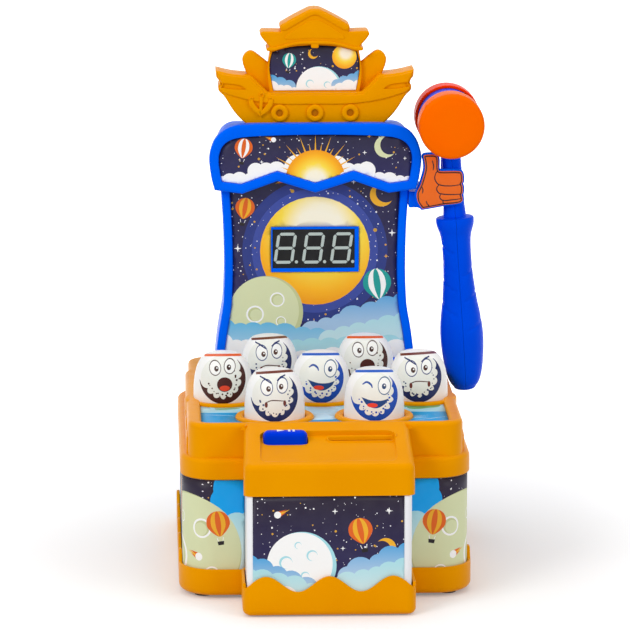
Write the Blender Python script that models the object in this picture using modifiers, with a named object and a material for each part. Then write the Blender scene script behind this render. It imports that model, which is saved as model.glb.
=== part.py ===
# Electronic hammer game: seven sprung heads in a tray, a coin console, a score tower with a boat on top,
# and a hammer that hangs beside the tower.
# Metres. The toy's front looks along -Y, X is to its right as seen from the front, and +Z is up.

import math

import bmesh
import bpy
from mathutils import Matrix, Vector

# Fits that the whole toy shares
gap = 0.0003
wall = 0.0022
overrun = 0.002
weld = 0.000002
print_thickness = 0.0004
screw_radius = 0.0026

# How finely round shapes are divided
corner_steps = 5
round_steps = 20
mole_steps = 16
mole_dome_steps = 6
small_steps = 10
grille_steps = 8

# Base box, band and tray block, from the floor up
foot_height = 0.002
foot_radius = 0.006
foot_inset = 0.016
trim_thickness = 0.0022
trim_height = 0.0175
wave_crest = 0.0265
wave_trough = 0.0165
wave_pitch = 0.04
body_wall_thickness = 0.002
band_bottom = 0.078
band_height = 0.014
block_height = 0.022
rim_height = band_bottom + band_height + block_height

# Pop-up heads, in rows of two, three and two
mole_pitch = 0.064
mole_row_pitch = mole_pitch * math.sqrt(3) / 2
mole_radius = 0.0195
mole_dome_radius = 0.0189
mole_dome_height = 0.017
mole_dome_power = 2.5
mole_rise = 0.0377
mole_skin = 0.0017
mole_travel = 0.008
mole_inside_shares = ((1.0, 0.0), (0.86, 0.4), (0.56, 0.76))
mole_flange_radius = 0.0212
mole_flange_thickness = 0.002
mole_shoulder_stem_radius = 0.007
mole_stem_radius = 0.004
collar_radius = 0.0253
collar_height = 0.0054
collar_bore = 0.02
spring_wire = 0.001
spring_coil_radius = 0.0056
spring_turns = 4
spring_steps = 6

# Tray round the heads
tray_depth = 0.007
tray_plate_thickness = 0.0023
tray_side_margin = 0.0155
tray_front_margin = 0.0215
tray_back_margin = 0.0282
recess_half_width = mole_pitch + tray_side_margin
recess_front = -tray_front_margin
recess_back = 2 * mole_row_pitch + tray_back_margin
recess_corner = 0.006
tray_plate_top = rim_height - tray_depth
collar_top = tray_plate_top + collar_height
mole_top = tray_plate_top + mole_rise

# Tower depths, from the tray back
tower_setback = 0.0064
tower_front_depth = 0.0205
tower_rear_depth = 0.018
tower_ledge = 0.004
tower_front = recess_back + tower_setback
tower_split = tower_front + tower_front_depth
tower_back = tower_split + tower_rear_depth

# Tray block, the band under it and the base under that
rim_side = 0.0085
rim_front = 0.0065
block_half_width = recess_half_width + rim_side
block_front = recess_front - rim_front
block_back = tower_back + tower_ledge
block_corner = 0.013
block_step_width = 0.0023
block_back_half_width = block_half_width - block_step_width
block_step_place = recess_back
block_step_run = 0.005
band_side_reach = 0.005
band_front_reach = 0.0036
band_back_reach = 0.0028
band_half_width = block_half_width + band_side_reach
band_front = block_front - band_front_reach
band_back = block_back + band_back_reach
band_corner = 0.0235
base_reach = 0.0012
base_half_width = band_half_width + base_reach
base_front = band_front - base_reach
base_back = band_back + base_reach
base_corner = 0.024
side_wave_thickness = 0.0025
side_wave_height = 0.0125
side_wave_depth = 0.0035
side_wave_length = 0.099

# Boards
board_thickness = 0.0016
board_drop = 0.0294
board_margin = 0.0035
switch_board_top = tray_plate_top - board_drop
switch_board_half_width = recess_half_width - board_margin
switch_board_front = recess_front + board_margin
switch_board_back = recess_back - 2 * board_margin
switch_height = 0.002
switch_radius = 0.003
post_radius = 0.0035

# Console in front of the base box
console_depth = 0.0444
console_front = base_front - console_depth
console_half_width = 0.053
console_back_half_width = 0.0508
console_wall_setback = 0.001
console_corner = 0.004
console_trim_thickness = 0.0019
console_trim_corner = 0.006
console_clearance = 0.0008
console_label_half_width = 0.0476
hood_rise = 0.0018
hood_slope_rise = 0.0183
hood_front_height = 0.0195
hood_back_top = rim_height + hood_rise
hood_fold = hood_back_top - hood_slope_rise
hood_bottom = hood_fold - hood_front_height
hood_rounding = 0.003
panel_half_width = 0.0435
panel_border = 0.0115
panel_back = block_front - panel_border
panel_depth = 0.003

# Coin slot and its chute
slot_centre = 0.0215
slot_setback = 0.032
slot_place = console_front + slot_setback
slot_length = 0.04
slot_width = 0.005
slot_lip = 0.0022
slot_lip_height = 0.0009
chute_wall = 0.0012
chute_reach = 0.018
chute_bottom = hood_bottom - chute_reach

# Start button
button_centre = -0.0268
button_setback = 0.0265
button_front = console_front + button_setback
button_width = 0.028
button_depth = 0.0098
button_drop = 0.0026
button_height = 0.0124
button_top = hood_back_top - button_drop
button_travel = 0.0025
button_clearance = 0.0004
button_rounding = 0.0018
button_flange = 0.0014
button_flange_top = button_top - button_height
button_flange_thickness = 0.0018
start_board_half_width = 0.0215
start_board_half_depth = 0.006

# Batteries and their box
battery_radius = 0.0071
battery_length = 0.0498
battery_pitch = 0.0149
battery_place = 0.09
battery_box_wall = 0.0015
battery_door_margin = 0.006
battery_door_thickness = 0.0018

# Power switch at the back
power_place = -0.045
power_height = 0.042
power_slot_length = 0.0095
power_slot_height = 0.0046
power_knob_length = 0.005
power_knob_reach = 0.0018
power_travel = 0.004
power_case_depth = 0.006

# Tower
tower_height = 0.1637
tower_top = rim_height + tower_height
tower_inset = 0.012
tower_foot_half_width = recess_half_width - tower_inset
tower_bead = 0.005
tower_bead_height = 0.0025
tower_profile_shares = (
    (0.0, 1.0), (0.065, 0.99), (0.157, 0.962), (0.255, 0.922), (0.34, 0.909),
    (0.427, 0.904), (0.585, 0.912), (0.727, 0.933), (0.86, 0.952), (1.0, 0.963),
)
grille_pitch = 0.006
grille_radius = 0.0013
grille_rise = 0.038
grille_height = rim_height + grille_rise
speaker_radius = 0.014
speaker_depth = 0.0055
rear_screw_spacing = 0.084
rear_screw_drop = 0.0197
rear_screw_height = tower_top - rear_screw_drop

# Marquee near the tower's top
marquee_depth = 0.008
marquee_front = tower_front - marquee_depth
marquee_overhang = 0.0035
marquee_half_width = tower_foot_half_width + marquee_overhang
marquee_drop = 0.0431
marquee_bottom = tower_top - marquee_drop
marquee_height = 0.0473
marquee_bead = 0.005
marquee_recess = 0.0025
marquee_outline_shares = (
    (0.0, 0.01), (0.359, 0.18), (0.69, 0.0), (0.952, 0.055), (0.98, 0.21), (1.0, 0.42), (1.0, 0.54),
    (0.985, 0.65), (0.954, 0.765), (0.892, 0.88), (0.8, 0.96), (0.69, 0.992), (0.4, 1.0), (0.0, 1.0),
)

# Score display below the marquee
display_drop = 0.0536
display_bottom = marquee_bottom - display_drop
display_width = 0.0566
display_height = 0.0283
display_bezel = 0.0012
display_depth = 0.009
main_board_half_width = 0.04
main_board_height = 0.056

# Boat on the tower
boat_setback = 0.0017
boat_depth = 0.024
boat_front = tower_front + boat_setback
boat_back = boat_front + boat_depth
boat_inset = 0.0005
boat_half_width = tower_foot_half_width - boat_inset
boat_height = 0.0797
gunwale_height = 0.0015
cabin_setback = 0.005
roof_setback = 0.001
paddle_setback = 0.0085
window_recess = 0.0012
porthole_radius = 0.0057
porthole_bore = 0.0022
porthole_height = 0.0016
porthole_pitch = 0.0237
porthole_level_share = 0.122
hull_outline_shares = (
    (0.66, 0.0), (0.75, 0.052), (0.82, 0.127), (0.882, 0.215), (0.94, 0.29), (0.973, 0.322), (0.973, 0.353),
    (0.96, 0.373), (0.973, 0.408), (0.993, 0.43), (1.0, 0.488), (0.846, 0.458), (0.645, 0.44), (0.478, 0.3),
    (0.4, 0.293),
)
gunwale_outline_shares = (
    (0.0, 0.199), (0.35, 0.201), (0.645, 0.233), (0.91, 0.296), (0.955, 0.322), (0.955, 0.353), (0.943, 0.373),
    (0.955, 0.408), (0.975, 0.43), (0.98, 0.47), (0.846, 0.445), (0.655, 0.427), (0.486, 0.286), (0.43, 0.279),
)
cabin_outline_shares = (
    (0.44, 0.2), (0.455, 0.3), (0.474, 0.4), (0.474, 0.5), (0.458, 0.6), (0.436, 0.7), (0.0, 0.73),
)
window_outline_shares = (
    (0.42, 0.302), (0.44, 0.39), (0.457, 0.48), (0.453, 0.56), (0.43, 0.635), (0.25, 0.675), (0.0, 0.692),
)
roof_outline_shares = (
    (0.0, 0.705), (0.2, 0.697), (0.4, 0.652), (0.48, 0.646), (0.49, 0.667), (0.458, 0.685), (0.55, 0.78),
    (0.537, 0.808), (0.497, 0.812), (0.343, 0.808), (0.353, 0.847), (0.335, 0.87), (0.067, 0.99), (0.0, 1.0),
)
hull_hollow_shares = ((0.67, 0.03), (0.9, 0.33), (0.9, 0.43), (0.69, 0.405), (0.53, 0.23))
roof_hollow_shares = (
    (0.0, 0.737), (0.2, 0.727), (0.4, 0.685), (0.42, 0.692), (0.49, 0.775), (0.31, 0.775), (0.3, 0.84),
    (0.06, 0.955), (0.0, 0.96),
)
paddle_outline_shares = (
    (0.43, 0.27), (0.52, 0.28), (0.66, 0.41), (0.703, 0.48), (0.723, 0.53), (0.727, 0.573), (0.697, 0.617),
    (0.643, 0.638), (0.588, 0.617), (0.43, 0.51),
)

# Hammer, measured down its own axis from the centre of the head
head_length = 0.062
barrel_radius = 0.02
cap_radius = 0.022
cap_length = 0.019
cap_face = 0.003
cap_rounding = 0.003
neck_length = 0.0621
neck_radius = 0.0074
neck_top_radius = 0.006
grip_length = 0.1232
grip_radius = 0.0142
handle_wall = 0.002
grip_profile_shares = (
    (0.0, 0.52), (0.015, 0.62), (0.026, 0.84), (0.053, 0.9), (0.105, 0.89), (0.143, 0.76), (0.21, 0.655),
    (0.293, 0.68), (0.391, 0.745), (0.564, 0.885), (0.684, 0.99), (0.774, 0.965), (0.857, 0.88),
    (0.94, 0.62), (0.978, 0.4), (1.0, 0.0),
)

# Where the hammer hangs, and the holder with its hand
hammer_lift = 0.0051
hammer_setback = 0.0049
hammer_reach = 0.0217
hammer_tilt = math.radians(3.45)
hand_reach = 0.0008
hand_clearance = 0.0044
hand_width = 0.0303
hand_thickness = 0.0024
hand_margin = 0.0008
hammer_z = band_bottom + band_height + hammer_lift + neck_length + grip_length
hammer_y = tower_front + hammer_setback
hand_left = tower_foot_half_width + hand_reach
hammer_x = hand_left + hammer_reach
hand_bottom = hammer_z - neck_length + hand_clearance
hand_height = neck_length - hand_clearance - cap_radius
holder_plate = 0.0022
holder_clearance = 0.0004
holder_web = 0.005
holder_leg_height = 0.0155
holder_tab_width = 0.009
arm_drop = 0.0012
arm_bottom = hand_bottom - arm_drop
arm_height = 0.011
arm_depth = 0.012
hand_outline_shares = (
    (0.12, 0.0), (0.267, 0.02), (0.6, 0.069), (0.97, 0.104), (1.0, 0.18), (0.98, 0.25), (1.0, 0.32),
    (1.0, 0.43), (0.985, 0.5), (1.0, 0.57), (0.97, 0.69), (0.52, 0.695), (0.482, 0.703), (0.462, 0.79),
    (0.462, 0.92), (0.4, 1.0), (0.135, 1.0), (0.162, 0.9), (0.178, 0.755), (0.142, 0.61), (0.076, 0.43),
    (0.0, 0.283), (0.023, 0.124),
)

# Where each plane's drawing lies: its two axes and the way it is thickened
planes = {
    "floor": Matrix(((1, 0, 0, 0), (0, 1, 0, 0), (0, 0, 1, 0), (0, 0, 0, 1))),
    "front": Matrix(((1, 0, 0, 0), (0, 0, -1, 0), (0, 1, 0, 0), (0, 0, 0, 1))),
    "side": Matrix(((0, 0, 1, 0), (1, 0, 0, 0), (0, 1, 0, 0), (0, 0, 0, 1))),
}


def clear_scene():
    for obj in list(bpy.data.objects):
        bpy.data.objects.remove(obj)


def add_collection(name):
    collection = bpy.data.collections.new(name)
    bpy.context.scene.collection.children.link(collection)
    return collection


def paint(name, colour, roughness, metallic=0.0):
    material = bpy.data.materials.new(name)
    material.use_nodes = True
    shader = material.node_tree.nodes["Principled BSDF"]
    shader.inputs["Base Color"].default_value = (*colour, 1)
    shader.inputs["Roughness"].default_value = roughness
    shader.inputs["Metallic"].default_value = metallic
    return material


def add_object(name, data, parent=None):
    obj = bpy.data.objects.new(name, data)
    parts.objects.link(obj)
    obj.parent = parent or root
    return obj


def finish(obj, material):
    obj.data.materials.clear()
    obj.data.materials.append(material)
    if obj.type == "MESH":
        obj.data.shade_smooth()
        obj.data.set_sharp_from_angle(angle=math.radians(35))
    return obj


def frozen(obj):
    # Turns a curve or a stack of modifiers into one welded mesh, still in the object's own frame
    bpy.context.view_layer.update()
    mesh = bpy.data.meshes.new_from_object(obj.evaluated_get(bpy.context.evaluated_depsgraph_get()))
    shape = bmesh.new()
    shape.from_mesh(mesh)
    bmesh.ops.remove_doubles(shape, verts=shape.verts, dist=weld)
    bmesh.ops.recalc_face_normals(shape, faces=shape.faces)
    shape.to_mesh(mesh)
    shape.free()
    name = obj.name
    parent = obj.parent
    place = obj.matrix_basis.copy()
    bpy.data.objects.remove(obj)
    solid = add_object(name, mesh, parent)
    solid.name = name
    solid.matrix_basis = place
    return solid


def plate(name, outlines, low, high, plane="floor", parent=None):
    # A flat outline, with any holes after it, thickened from low to high
    curve = bpy.data.curves.new(name, "CURVE")
    curve.dimensions = "2D"
    curve.fill_mode = "BOTH"
    curve.extrude = (high - low) / 2
    for outline in outlines:
        spline = curve.splines.new("POLY")
        spline.points.add(len(outline) - 1)
        for point, (across, up) in zip(spline.points, outline):
            point.co = (across, up, 0, 1)
        spline.use_cyclic_u = True
    obj = frozen(add_object(name, curve, parent))
    middle = (low + high) / 2
    if plane == "front":
        middle = -middle
    obj.data.transform(planes[plane] @ Matrix.Translation((0, 0, middle)))
    return obj


def box(name, low, high, parent=None):
    shape = bmesh.new()
    size = Vector(high) - Vector(low)
    centre = (Vector(high) + Vector(low)) / 2
    bmesh.ops.create_cube(shape, size=1, matrix=Matrix.Translation(centre) @ Matrix.Diagonal((*size, 1)))
    mesh = bpy.data.meshes.new(name)
    shape.to_mesh(mesh)
    shape.free()
    return add_object(name, mesh, parent)


def cylinder(name, centre, radius, low, high, plane="floor", steps=round_steps, parent=None):
    shape = bmesh.new()
    middle = (low + high) / 2
    if plane == "front":
        middle = -middle
    place = planes[plane] @ Matrix.Translation((*centre, middle))
    bmesh.ops.create_cone(
        shape, cap_ends=True, segments=steps, radius1=radius, radius2=radius, depth=high - low, matrix=place
    )
    mesh = bpy.data.meshes.new(name)
    shape.to_mesh(mesh)
    shape.free()
    return add_object(name, mesh, parent)


def turned(name, profile, steps=round_steps, parent=None):
    # A profile of (radius, height) turned about Z. It is closed into a ring unless it ends on the axis
    mesh = bpy.data.meshes.new(name)
    edges = [(i, i + 1) for i in range(len(profile) - 1)]
    if profile[0][0] > 0:
        edges.append((len(profile) - 1, 0))
    mesh.from_pydata([(radius, 0, height) for radius, height in profile], edges, [])
    obj = add_object(name, mesh, parent)
    screw = obj.modifiers.new("turn", "SCREW")
    screw.angle = math.tau
    screw.steps = steps
    screw.render_steps = steps
    screw.use_merge_vertices = True
    screw.merge_threshold = weld
    return frozen(obj)


def tube(name, points, radius):
    curve = bpy.data.curves.new(name, "CURVE")
    # A round wire along a line of points
    curve.dimensions = "3D"
    curve.bevel_depth = radius
    curve.bevel_resolution = 0
    curve.use_fill_caps = True
    spline = curve.splines.new("POLY")
    spline.points.add(len(points) - 1)
    for point, place in zip(spline.points, points):
        point.co = (*place, 1)
    return frozen(add_object(name, curve))


def combine(target, tool, operation):
    tool.parent = target.parent
    parts.objects.unlink(tool)
    cutters.objects.link(tool)
    tool.hide_render = True
    tool.display_type = "WIRE"
    boolean = target.modifiers.new(tool.name, "BOOLEAN")
    boolean.operation = operation
    boolean.object = tool


def cut(target, *tools):
    for tool in tools:
        combine(target, tool, "DIFFERENCE")


def unite(target, *tools):
    for tool in tools:
        combine(target, tool, "UNION")


def keep(target, tool):
    combine(target, tool, "INTERSECT")


def round_edges(obj, radius, segments=2, angle=40):
    bevel = obj.modifiers.new("rounding", "BEVEL")
    bevel.width = radius
    bevel.segments = segments
    bevel.limit_method = "ANGLE"
    bevel.angle_limit = math.radians(angle)
    return obj


def arc(centre, radius, start, end, steps):
    turns = [math.radians(start + (end - start) * i / steps) for i in range(steps + 1)]
    return [(centre[0] + radius * math.cos(turn), centre[1] + radius * math.sin(turn)) for turn in turns]


def rounded_rectangle(left, right, front, back, radius, steps=corner_steps):
    points = arc((right - radius, back - radius), radius, 0, 90, steps)
    points += arc((left + radius, back - radius), radius, 90, 180, steps)
    points += arc((left + radius, front + radius), radius, 180, 270, steps)
    points += arc((right - radius, front + radius), radius, 270, 360, steps)
    return points


def inset(points, distance):
    # Moves every side of an anticlockwise outline inwards
    moved = []
    for i, here in enumerate(points):
        here = Vector(here)
        before = (here - Vector(points[i - 1])).normalized()
        after = (Vector(points[(i + 1) % len(points)]) - here).normalized()
        first = Vector((-before.y, before.x))
        second = Vector((-after.y, after.x))
        moved.append(tuple(here + (first + second) * distance / (1 + first.dot(second))))
    return moved


def scaled(shares, width, height, left=0.0, bottom=0.0):
    return [(left + x * width, bottom + z * height) for x, z in shares]


def both_sides(half):
    # Adds the mirror image of an outline that runs from the middle, up the +X side, to the middle
    return half + [(-x, z) for x, z in reversed(half) if x > weld]


def wave(place, pitch, low, high, start=0.0):
    return (low + high) / 2 + (high - low) / 2 * math.cos(math.tau * (place - start) / pitch)


def base_outline(margin=0.0):
    across = base_half_width - margin
    return rounded_rectangle(-across, across, base_front + margin, base_back - margin, base_corner - margin)


def block_outline(margin=0.0):
    # The tray block is a little narrower behind the step, where the hammer's grip hangs beside it
    front = block_front + block_corner
    back = block_back - block_corner
    wide = block_half_width - margin
    narrow = block_back_half_width - margin
    radius = block_corner - margin
    step_end = block_step_place + block_step_run
    points = arc((block_back_half_width - block_corner, back), radius, 0, 90, corner_steps)
    points += arc((block_corner - block_back_half_width, back), radius, 90, 180, corner_steps)
    points += [(-narrow, step_end), (-wide, block_step_place)]
    points += arc((block_corner - block_half_width, front), radius, 180, 270, corner_steps)
    points += arc((block_half_width - block_corner, front), radius, 270, 360, corner_steps)
    points += [(wide, block_step_place), (narrow, step_end)]
    return points


base_floor = foot_height + wall
label_margin = trim_thickness + gap
body_wall_margin = label_margin + print_thickness + gap
mole_places = (
    (-mole_pitch / 2, 0.0), (mole_pitch / 2, 0.0),
    (-mole_pitch, mole_row_pitch), (0.0, mole_row_pitch), (mole_pitch, mole_row_pitch),
    (-mole_pitch / 2, 2 * mole_row_pitch), (mole_pitch / 2, 2 * mole_row_pitch),
)


def battery_bay():
    half_width = battery_pitch + battery_radius + gap + battery_box_wall
    half_depth = battery_length / 2 + gap + battery_box_wall
    return half_width, half_depth


def make_bottom_tray():
    tray = plate("bottom_tray", [base_outline()], foot_height, wave_crest)
    cut(tray, plate("bottom_tray_pocket", [base_outline(trim_thickness)], base_floor, wave_crest + overrun))
    flat = foot_height + trim_height
    steps = 4 * round((base_back - base_front) / wave_pitch)
    first = base_front + base_corner
    last = base_back - base_corner
    outline = [(base_front - overrun, flat), (first, flat)]
    for i in range(1, 2 * steps):
        place = first + (last - first) * i / (2 * steps)
        outline.append((place, wave(place, wave_pitch, wave_trough, wave_crest - weld, (first + last) / 2)))
    outline += [(last, flat), (base_back + overrun, flat)]
    outline += [(base_back + overrun, wave_crest + overrun), (base_front - overrun, wave_crest + overrun)]
    reach = base_half_width + overrun
    cut(tray, plate("bottom_tray_wave", [outline], -reach, reach, "side"))
    half_width, half_depth = battery_bay()
    half_width += battery_door_margin
    half_depth += battery_door_margin
    low = (-half_width, battery_place - half_depth, foot_height - overrun)
    high = (half_width, battery_place + half_depth, base_floor + overrun)
    cut(tray, box("bottom_tray_bay", low, high))
    finish(tray, amber)


def make_feet():
    across = base_half_width - foot_inset
    front = base_front + foot_inset
    back = base_back - foot_inset
    for name, x, y in (
        ("foot_front_left", -across, front), ("foot_front_right", across, front),
        ("foot_back_left", -across, back), ("foot_back_right", across, back),
    ):
        finish(cylinder(name, (x, y), foot_radius, 0, foot_height - gap, steps=24), rubber)


def make_body_wall():
    outer = base_outline(body_wall_margin)
    inner = base_outline(body_wall_margin + body_wall_thickness)
    body = plate("body_wall", [outer, inner], base_floor + gap, band_bottom - gap)
    half_length = power_slot_length / 2
    half_height = power_slot_height / 2
    low = (power_place - half_length, base_back - wall * 4, power_height - half_height)
    high = (power_place + half_length, base_back, power_height + half_height)
    cut(body, box("power_slot", low, high))
    finish(body, white)


def make_body_label():
    # The printed wrap runs from one side of the console, round the back, to the other side
    outer = base_outline(label_margin)
    inner = base_outline(label_margin + print_thickness)
    label = plate("body_label", [outer, inner], base_floor + gap, band_bottom - gap)
    half_width = console_half_width + console_trim_thickness
    low = (-half_width, base_front, 0)
    high = (half_width, base_front + base_corner, band_bottom)
    cut(label, box("console_gap", low, high))
    margin = power_slot_height / 2
    low = (power_place - power_slot_length / 2 - margin, base_back - wall * 4, power_height - 2 * margin)
    high = (power_place + power_slot_length / 2 + margin, base_back, power_height + 2 * margin)
    cut(label, box("power_window", low, high))
    finish(label, printed)


def side_wave_outline():
    # The raised wave that runs along each side of the tray block
    front = block_front + block_corner
    low = band_bottom + band_height - side_wave_depth
    high = band_bottom + band_height + side_wave_height
    steps = 4 * round(side_wave_length / wave_pitch)
    outline = [(front, low)]
    for i in range(2 * steps + 1):
        place = front + side_wave_length * i / (2 * steps)
        outline.append((place, wave(place, wave_pitch, high - side_wave_depth, high, front + wave_pitch / 4)))
    outline.append((front + side_wave_length, low))
    return list(reversed(outline))


def make_tray_housing():
    band_top = band_bottom + band_height
    band = rounded_rectangle(-band_half_width, band_half_width, band_front, band_back, band_corner)
    housing = plate("tray_housing", [band], band_bottom, band_top)
    round_edges(housing, band_height / 4)
    unite(housing, plate("tray_block", [block_outline()], band_bottom + wall, rim_height))
    over = rim_height + overrun
    cut(housing, plate("tray_recess", [recess_outline()], tray_plate_top, over))
    for i, place in enumerate(mole_places):
        unite(housing, cylinder(f"collar_boss_{i + 1}", place, collar_radius, band_top - wall, collar_top))
    for side in (-1, 1):
        reach = side * (block_half_width + side_wave_thickness)
        root_of_wave = side * (block_half_width - wall / 2)
        low, high = sorted((reach, root_of_wave))
        unite(housing, plate("side_wave", [side_wave_outline()], low, high, "side"))
    plate_bottom = tray_plate_top - tray_plate_thickness
    cut(housing, plate("tray_hollow", [block_outline(wall + gap)], band_bottom - overrun, plate_bottom))
    for i, place in enumerate(mole_places):
        cut(housing, cylinder(f"collar_bore_{i + 1}", place, collar_bore, plate_bottom - overrun, over))
    low = switch_board_top + gap
    high = plate_bottom + wall / 2
    for x in (-mole_pitch, mole_pitch):
        for y in (mole_row_pitch / 3, mole_row_pitch * 5 / 3):
            unite(housing, cylinder("board_post", (x, y), post_radius, low, high, steps=small_steps))
    finish(housing, amber)


def recess_outline(margin=0.0):
    across = recess_half_width - margin
    front = recess_front + margin
    back = recess_back - margin
    return rounded_rectangle(-across, across, front, back, recess_corner - margin)


def make_tray_label():
    low = tray_plate_top + gap
    high = low + print_thickness
    label = plate("tray_label", [recess_outline(gap)], low, high)
    for i, place in enumerate(mole_places):
        cut(label, cylinder(f"label_hole_{i + 1}", place, collar_radius + gap, low - overrun, high + overrun))
    finish(label, printed)


def mole_profile():
    flange_top = tray_plate_top - tray_plate_thickness - gap
    flange_bottom = flange_top - mole_flange_thickness
    dome_low = mole_top - mole_dome_height
    inner_radius = mole_radius - mole_skin
    stem_end = switch_board_top + switch_height + mole_travel + gap
    profile = []
    for i in range(mole_dome_steps + 1):
        turn = math.pi / 2 * i / mole_dome_steps
        across = mole_dome_radius * math.sin(turn) ** (2 / mole_dome_power)
        lift = mole_dome_height * max(math.cos(turn), 0.0) ** (2 / mole_dome_power)
        profile.append((across, dome_low + lift))
    profile += [(mole_radius, flange_top), (mole_flange_radius, flange_top)]
    profile += [(mole_flange_radius, flange_bottom), (inner_radius, flange_bottom)]
    inside = mole_dome_radius - mole_skin
    profile += [(inside * across, dome_low + mole_dome_height * lift) for across, lift in mole_inside_shares]
    profile += [(mole_shoulder_stem_radius, profile[-1][1]), (mole_shoulder_stem_radius, flange_top)]
    profile += [(mole_stem_radius, flange_top), (mole_stem_radius, stem_end), (0.0, stem_end)]
    return profile, flange_top


def make_moles():
    profile, spring_top = mole_profile()
    spring_bottom = switch_board_top + gap
    reach = spring_top - gap - spring_wire - spring_bottom
    helix = []
    steps = spring_turns * spring_steps
    for i in range(steps + 1):
        turn = math.tau * i / spring_steps
        lift = spring_bottom + spring_wire / 2 + reach * i / steps
        helix.append((spring_coil_radius * math.cos(turn), spring_coil_radius * math.sin(turn), lift))
    for i, (x, y) in enumerate(mole_places):
        mole = turned(f"mole_{i + 1}", profile, mole_steps)
        mole.location = (x, y, 0)
        finish(mole, milky)
        spring = tube(f"mole_spring_{i + 1}", helix, spring_wire / 2)
        spring.location = (x, y, 0)
        finish(spring, steel)


def make_switch_board():
    across = switch_board_half_width
    outline = rounded_rectangle(-across, across, switch_board_front, switch_board_back, post_radius)
    board = plate("switch_board", [outline], switch_board_top - board_thickness, switch_board_top)
    for x, y in mole_places:
        low = switch_board_top - board_thickness / 2
        high = switch_board_top + switch_height
        unite(board, cylinder("mole_switch", (x, y), switch_radius, low, high, steps=small_steps))
    finish(board, circuit_green)


def console_outline(margin=0.0, back=base_front):
    across = console_half_width - margin
    return rounded_rectangle(-across, across, console_front + margin, back - gap, console_corner)


def make_console_base():
    inner_half = console_half_width - console_wall_setback / 2 + gap
    outer_half = inner_half + console_trim_thickness
    front = console_front - console_trim_thickness
    outer = rounded_rectangle(-outer_half, outer_half, front, base_front - gap, console_trim_corner)
    base = plate("console_base", [outer], console_clearance, wave_crest)
    floor = console_clearance + wall
    back = base_front - gap - console_trim_thickness
    pocket = rounded_rectangle(-inner_half, inner_half, console_front, back, console_corner)
    cut(base, plate("console_pocket", [pocket], floor, wave_crest + overrun))
    reach = outer_half + overrun
    steps = 8 * round(2 * reach / wave_pitch)
    outline = [(reach, wave_crest + overrun), (-reach, wave_crest + overrun)]
    for i in range(steps + 1):
        place = -reach + 2 * reach * i / steps
        outline.append((place, wave(place, wave_pitch, wave_trough, wave_crest - weld)))
    back = console_front + console_trim_corner / 2
    cut(base, plate("console_wave", [outline], front - overrun, back, "front"))
    finish(base, amber)


def make_console_wall():
    floor = console_clearance + wall
    back = base_front - console_trim_thickness - gap
    outer = console_outline(console_wall_setback, back)
    inner = inset(outer, body_wall_thickness)
    finish(plate("console_wall", [outer, inner], floor + gap, hood_bottom - gap), white)


def make_console_label():
    wall_front = console_front + console_wall_setback
    low = console_clearance + wall + gap
    outline = [
        (-console_label_half_width, low), (console_label_half_width, low),
        (console_label_half_width, hood_bottom - gap), (-console_label_half_width, hood_bottom - gap),
    ]
    label = plate("console_label", [outline], wall_front - gap - print_thickness, wall_front - gap, "front")
    finish(label, printed)


def hood_line(place, below=0.0):
    # Height of the sloping lid at a place along Y, or of a surface parallel to it and lower
    slope = (hood_back_top - hood_fold) / (block_front - gap - console_front)
    return hood_fold + slope * (place - console_front) - below * math.sqrt(1 + slope * slope)


def panel_line(place, below=0.0):
    # Height of the sunk panel in the lid, which runs out just behind the rounded fold
    panel_front = console_front + hood_rounding
    share = (place - panel_front) / (panel_back - panel_front)
    return hood_line(place, below) - panel_depth * share


def make_console_hood():
    band_top = band_bottom + band_height
    back = band_front - gap
    block = block_front - gap
    outline = [
        (back, hood_bottom), (back, band_top + gap), (block, band_top + gap), (block, hood_back_top),
        (console_front, hood_fold), (console_front, hood_bottom),
    ]
    hood = plate("console_hood", [outline], -console_half_width, console_half_width, "side")
    depth = block - console_front
    for vertex in hood.data.vertices:
        share = (vertex.co.y - console_front) / depth
        vertex.co.x *= 1 - share * (1 - console_back_half_width / console_half_width)
    round_edges(hood, hood_rounding, angle=15)
    thick = wall + panel_depth
    inner_front = console_front + wall
    inner_back = back - wall
    hollow = [
        (inner_back, hood_bottom - overrun), (inner_back, hood_line(inner_back, thick)),
        (inner_front, hood_line(inner_front, wall)), (inner_front, hood_bottom - overrun),
    ]
    half = console_back_half_width - wall
    cut(hood, plate("hood_hollow", [hollow], -half, half, "side"))
    over = hood_back_top + overrun
    before = console_front - overrun
    panel = [(panel_back, panel_line(panel_back)), (panel_back, over)]
    panel += [(before, over), (before, panel_line(before))]
    cut(hood, plate("hood_panel", [panel], -panel_half_width, panel_half_width, "side"))
    lip_back = slot_place + slot_width / 2 + slot_lip
    lip_front = slot_place - slot_width / 2 - slot_lip
    lip = [
        (lip_back, panel_line(lip_back, wall / 2)), (lip_back, panel_line(lip_back, -slot_lip_height)),
        (lip_front, panel_line(lip_front, -slot_lip_height)), (lip_front, panel_line(lip_front, wall / 2)),
    ]
    half = slot_length / 2 + slot_lip
    unite(hood, plate("slot_lip", [lip], slot_centre - half, slot_centre + half, "side"))
    low = (slot_centre - slot_length / 2, slot_place - slot_width / 2, hood_bottom)
    high = (slot_centre + slot_length / 2, slot_place + slot_width / 2, over)
    cut(hood, box("coin_slot", low, high))
    half = button_width / 2 + button_clearance
    low = (button_centre - half, button_front - button_clearance, hood_bottom + wall)
    high = (button_centre + half, button_front + button_depth + button_clearance, over)
    cut(hood, box("button_hole", low, high))
    middle = button_front + button_depth / 2
    low = start_board_top() + gap
    high = hood_line(middle, wall)
    for side in (-1, 1):
        x = button_centre + side * (start_board_half_width - screw_radius)
        unite(hood, cylinder("start_boss", (x, middle), screw_radius, low, high, steps=small_steps))
    finish(hood, amber)


def start_board_top():
    flange_bottom = button_flange_top - button_flange_thickness
    return flange_bottom - button_travel - gap - switch_height


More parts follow.
